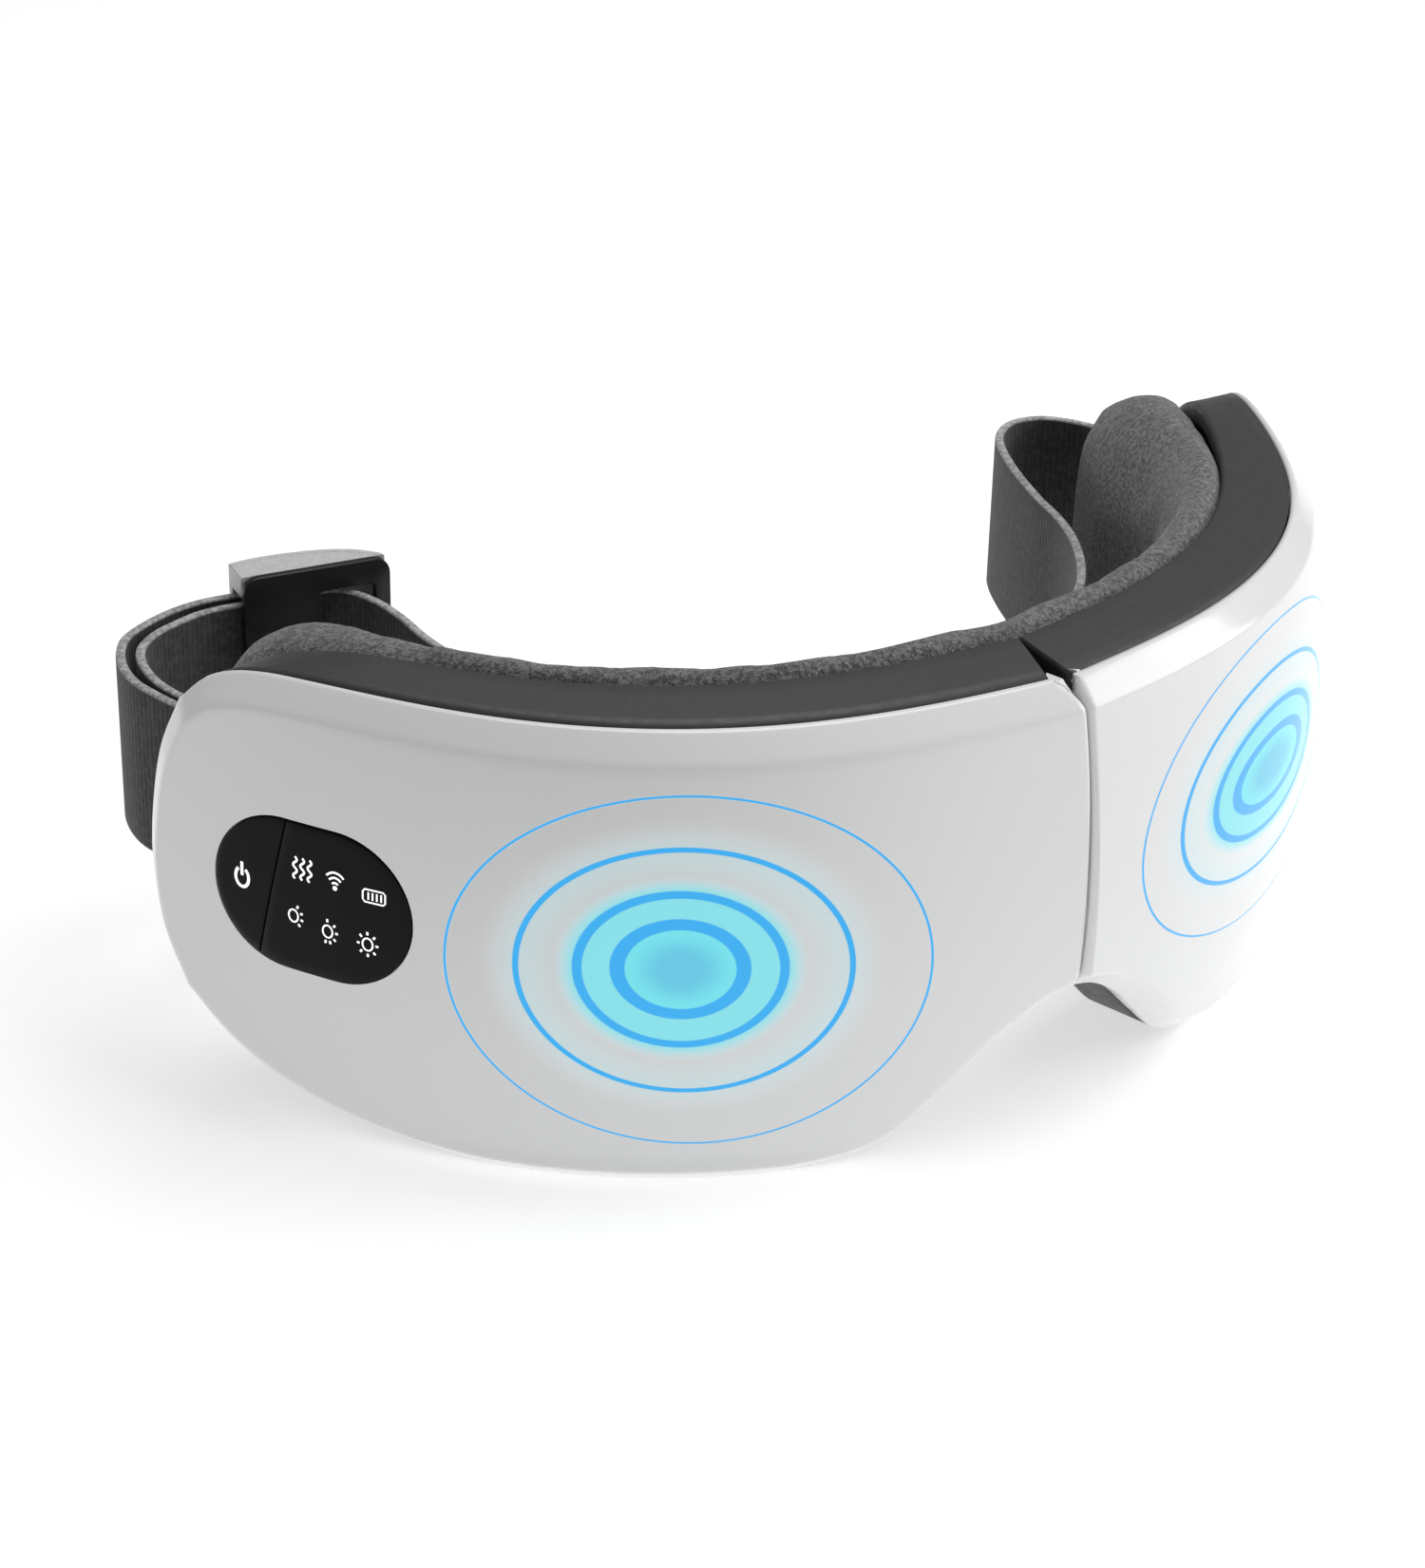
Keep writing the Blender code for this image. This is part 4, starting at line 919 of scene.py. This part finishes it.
def cap_plates():
    """The cover's top and bottom walls, which close the channel above and below the band."""
    outline = np.concatenate([smooth_line([(-47.3, 114.5), (-47.6, 115.5), (-51.5, 118.6), (-58, 120.7),
                                           (-66, 121.2), (-71.3, 120.6)], count=30) / MM,
                              [(-71.3, 114.5)]])
    made = []
    for word, low, high in (("top", STRAP_WIDTH / MM / 2 + 1.0, HALF_BUCKLE - 0.35),
                            ("bottom", -HALF_BUCKLE + 0.35, -STRAP_WIDTH / MM / 2 - 1.0)):
        count = len(outline)
        middle = outline.mean(0)
        verts, faces = [], []
        for z, pull in ((low, 0.2), (low + 0.2, 0), (high - 0.2, 0), (high, 0.2)):
            ring = middle + (outline - middle) * (1 - pull / np.linalg.norm(outline - middle, axis=1)[:, None])
            verts.append(buckle_place(ring, np.full(count, z)))
        for k in range(3):
            for i in range(count):
                j = (i + 1) % count
                faces.append((k * count + i, k * count + j, (k + 1) * count + j, (k + 1) * count + i))
        faces.append(tuple(range(count)))
        faces.append(tuple(range(3 * count, 4 * count))[::-1])
        obj = make_object("cover_" + word, np.concatenate(verts), faces, COVER)
        made.append(sharp_by_angle(orient(obj), 40))
    return made


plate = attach(make_plate(), "buckle")
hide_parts("buckle_plate")
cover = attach(make_cover(), "buckle")
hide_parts("buckle_cover")
for lid in cap_plates():
    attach(lid, "buckle")


def make_anchor(side):
    """The moulded lug at the temple that the band is stitched to."""
    outline = rounded_rect(5.0, 33.0, 1.4)
    count = len(outline)
    verts, faces = [], []
    for out, pull in ((-11.2, 0.4), (-10.9, 0.0), (-7.2, 0.0), (-6.9, 0.4)):
        shrink = 1 - pull / np.linalg.norm(outline, axis=1)[:, None]
        ring = outline * shrink * MM + (139.8 * MM, -31 * MM)
        verts.append(bend(np.stack([ring[:, 0], np.full(count, out * MM), ring[:, 1]], 1), side))
    for k in range(3):
        for i in range(count):
            j = (i + 1) % count
            faces.append((k * count + i, k * count + j, (k + 1) * count + j, (k + 1) * count + i))
    faces += [tuple(range(count)), tuple(range(3 * count, 4 * count))[::-1]]
    obj = sharp_by_angle(orient(make_object("anchor_" + WORDS[side], np.concatenate(verts), faces, ANCHOR)), 40)
    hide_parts("strap_anchor_" + WORDS[side])
    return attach(obj, WORDS[side] + "_half")


make_anchor(LEFT)
make_anchor(RIGHT)


# ---------------------------------------------------------------- padded lining

PAD_BACK = 20.6 * MM
PAD_CELL = 3.6 * MM
PAD_END = 141 * MM
PAD_SWELL = 5.5 * MM             # extra thickness of the pad at the temples
PAD_SWELL_START, PAD_SWELL_RUN = 88 * MM, 40 * MM
PAD_RISE = 3.6 * MM              # how far the slab's top stands above the rim before it is remeshed


def pad_block():
    """A firm slab along the backs of both trays, to be inflated into a cushion."""
    sections = []
    steps = np.concatenate([np.linspace(-PAD_END, 0, 64), np.linspace(0, PAD_END, 64)[1:]])
    outline = inset(np.full(len(RIM), 0.6 * MM))
    top, bottom = outline[:N + 1], outline[N + M:][::-1]
    temple = outline[N:N + M + 1]
    upper = np.concatenate([top, temple[:M // 2 + 1]])
    lower = np.concatenate([bottom, temple[M // 2:][::-1]])
    for step in steps:
        along = min(abs(step), HALF_LENGTH - 4 * MM)
        high = np.interp(along, upper[:, 0], upper[:, 1]) + PAD_RISE
        low = np.interp(along, lower[:, 0], lower[:, 1])
        swell = np.clip((along - PAD_SWELL_START) / PAD_SWELL_RUN, 0, 1)
        swell = PAD_SWELL * swell * swell * (3 - 2 * swell)
        high -= 0.4 * swell
        front, back = -tray_depth(along) + 1.7 * MM, -PAD_BACK + 1.2 * MM - swell
        ring = []
        for k in range(24):
            a = 2 * math.pi * k / 24
            c, s = math.cos(a), math.sin(a)
            c, s = math.copysign(abs(c) ** 0.6, c), math.copysign(abs(s) ** 0.5, s)
            ring.append((along, (front + back) / 2 + c * (front - back) / 2,
                         (high + low) / 2 + s * (high - low) / 2))
        sections.append(bend(np.array(ring), RIGHT if step >= 0 else LEFT))
    count = 24
    verts = np.concatenate(sections)
    faces = []
    for k in range(len(sections) - 1):
        for i in range(count):
            j = (i + 1) % count
            faces.append((k * count + i, k * count + j, (k + 1) * count + j, (k + 1) * count + i))
    faces.append(tuple(range(count)))
    faces.append(tuple(range((len(sections) - 1) * count, len(sections) * count))[::-1])
    return orient(make_object("lining", verts, faces, KNIT))


def depth_behind(points):
    """How far each world point stands behind the rim plane of its half, and how far along it is."""
    x, y = np.abs(points[:, 0]), points[:, 1] - DATUM_Y
    nose = np.stack([PLAN_X, PLAN_Y], 1)
    best = np.argmin((nose[None, :, 0] - x[:, None]) ** 2 + (nose[None, :, 1] - y[:, None]) ** 2, 1)
    gap = np.hypot(nose[best, 0] - x, nose[best, 1] - y)
    return gap, ARC[best]


def inflate(obj):
    """Remesh the slab and let a light pressure round it; its front stays held by the trays."""
    remesh = obj.modifiers.new("cells", "REMESH")
    remesh.mode, remesh.voxel_size = "VOXEL", PAD_CELL
    apply_modifiers(obj)
    rest = np.array([v.co for v in obj.data.vertices], float)
    gap, along = depth_behind(rest)
    held = obj.vertex_groups.new(name="held")
    for k in np.where(gap < tray_depth(along) + 1.3 * MM)[0]:
        held.add([int(k)], 1.0, "REPLACE")
    cloth = obj.modifiers.new("cloth", "CLOTH")
    cloth.settings.vertex_group_mass = "held"
    cloth.settings.use_pressure = True
    cloth.settings.uniform_pressure_force = 4
    cloth.settings.effector_weights.gravity = 0
    cloth.settings.tension_stiffness = 12
    cloth.settings.bending_stiffness = 2
    cloth.point_cache.frame_start, cloth.point_cache.frame_end = 1, 20
    scene = bpy.context.scene
    for frame_number in range(1, 21):
        scene.frame_set(frame_number)
    graph = bpy.context.evaluated_depsgraph_get()
    puffed = np.array([v.co for v in obj.evaluated_get(graph).data.vertices], float)
    obj.modifiers.remove(cloth)
    scene.frame_set(1)
    move = puffed - rest
    size = np.linalg.norm(move, axis=1)[:, None]
    move *= np.minimum(1, 1.9 * MM / np.maximum(size, 1e-9))
    obj.data.vertices.foreach_set("co", (rest + move).ravel())
    finer = obj.modifiers.new("finer", "SUBSURF")
    finer.levels = finer.render_levels = 1
    apply_modifiers(obj)
    obj.data.shade_smooth()
    return obj


lining = inflate(pad_block())
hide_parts("lining_left", "lining_right", "bridge_web")
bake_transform(lining)


# ---------------------------------------------------------------- the pieces kept as they were made

for node, obj in frame["nodes"].items():
    if obj.hide_render:
        continue
    slot_name = next(s["material_slot"] for s in frame["record"]["subparts"] if s["node"] == node)
    if slot_name in CAD_LOOKS:
        look = CAD_LOOKS[slot_name]
        for k in range(max(1, len(obj.material_slots))):
            if not obj.material_slots:
                obj.data.materials.append(look)
            else:
                obj.material_slots[k].material = look


def make_air_hose():
    """The soft hose between the halves, made in the CAD tube's shape."""
    source = frame["nodes"]["air_tube"]
    verts = [tuple(source.matrix_world @ v.co) for v in source.data.vertices]
    faces = [tuple(p.vertices) for p in source.data.polygons]
    hose = make_object("air_hose", verts, faces, source.material_slots[0].material)
    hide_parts("air_tube")
    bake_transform(hose)


make_air_hose()


# ---------------------------------------------------------------- stage, light and camera

def stage_material():
    n = Nodes("pale_paper", (0.6, 0.6, 0.6), 0.7, Emission_Strength=0.62)
    n.shader.inputs["Emission Color"].default_value = (1, 1, 1, 1)
    n.rough(0.7, 0.05, 30)
    return n.mat


floor = make_object("floor", [(-6, -6, -0.0004), (6, -6, -0.0004), (6, 6, -0.0004), (-6, 6, -0.0004)],
                    [(0, 1, 2, 3)], stage_material(), smooth=False)

world = bpy.data.worlds.new("studio")
bpy.context.scene.world = world
world.use_nodes = True
world.node_tree.nodes["Background"].inputs[0].default_value = (1, 1, 1, 1)
world.node_tree.nodes["Background"].inputs[1].default_value = 0.2


def area_light(name, where, target, size, power):
    data = bpy.data.lights.new(name, "AREA")
    data.shape, data.size, data.size_y, data.energy = "RECTANGLE", size[0], size[1], power
    lamp = bpy.data.objects.new(name, data)
    bpy.context.scene.collection.objects.link(lamp)
    lamp.location = where
    aim = Vector(target) - Vector(where)
    lamp.rotation_mode = "QUATERNION"
    lamp.rotation_quaternion = aim.to_track_quat("-Z", "Y")


area_light("top_softbox", (0.2, 0.05, 1.0), (0, 0, 0.03), (0.9, 0.7), 6.2)
area_light("right_softbox", (0.95, -0.55, 0.45), (0.03, 0, 0.03), (0.6, 0.7), 5.0)

VIEW_AZIMUTH = math.radians(-36.77)
VIEW_HEIGHT = math.radians(27.71)
VIEW_ROLL = math.radians(1.39)
VIEW_DISTANCE = 0.6204
VIEW_TARGET = Vector((3.49 * MM, 89.76 * MM + DATUM_Y, -58.02 * MM + MASK_HEIGHT))
camera = bpy.data.objects.new("camera", bpy.data.cameras.new("camera"))
bpy.context.scene.collection.objects.link(camera)
bpy.context.scene.camera = camera
away = Vector((math.sin(VIEW_AZIMUTH) * math.cos(VIEW_HEIGHT), -math.cos(VIEW_AZIMUTH) * math.cos(VIEW_HEIGHT),
               math.sin(VIEW_HEIGHT)))
right = Vector((math.cos(VIEW_AZIMUTH), math.sin(VIEW_AZIMUTH), 0))
up = away.cross(right)
turned_right = right * math.cos(VIEW_ROLL) + up * math.sin(VIEW_ROLL)
turned_up = up * math.cos(VIEW_ROLL) - right * math.sin(VIEW_ROLL)
basis = Matrix((turned_right, turned_up, away)).transposed()
camera.matrix_world = Matrix.Translation(VIEW_TARGET + away * VIEW_DISTANCE) @ basis.to_4x4()
camera.data.sensor_fit = "HORIZONTAL"
camera.data.sensor_width = 36
camera.data.lens = 93.36
camera.data.clip_start, camera.data.clip_end = 0.01, 20

bpy.context.scene.view_settings.view_transform = "Standard"
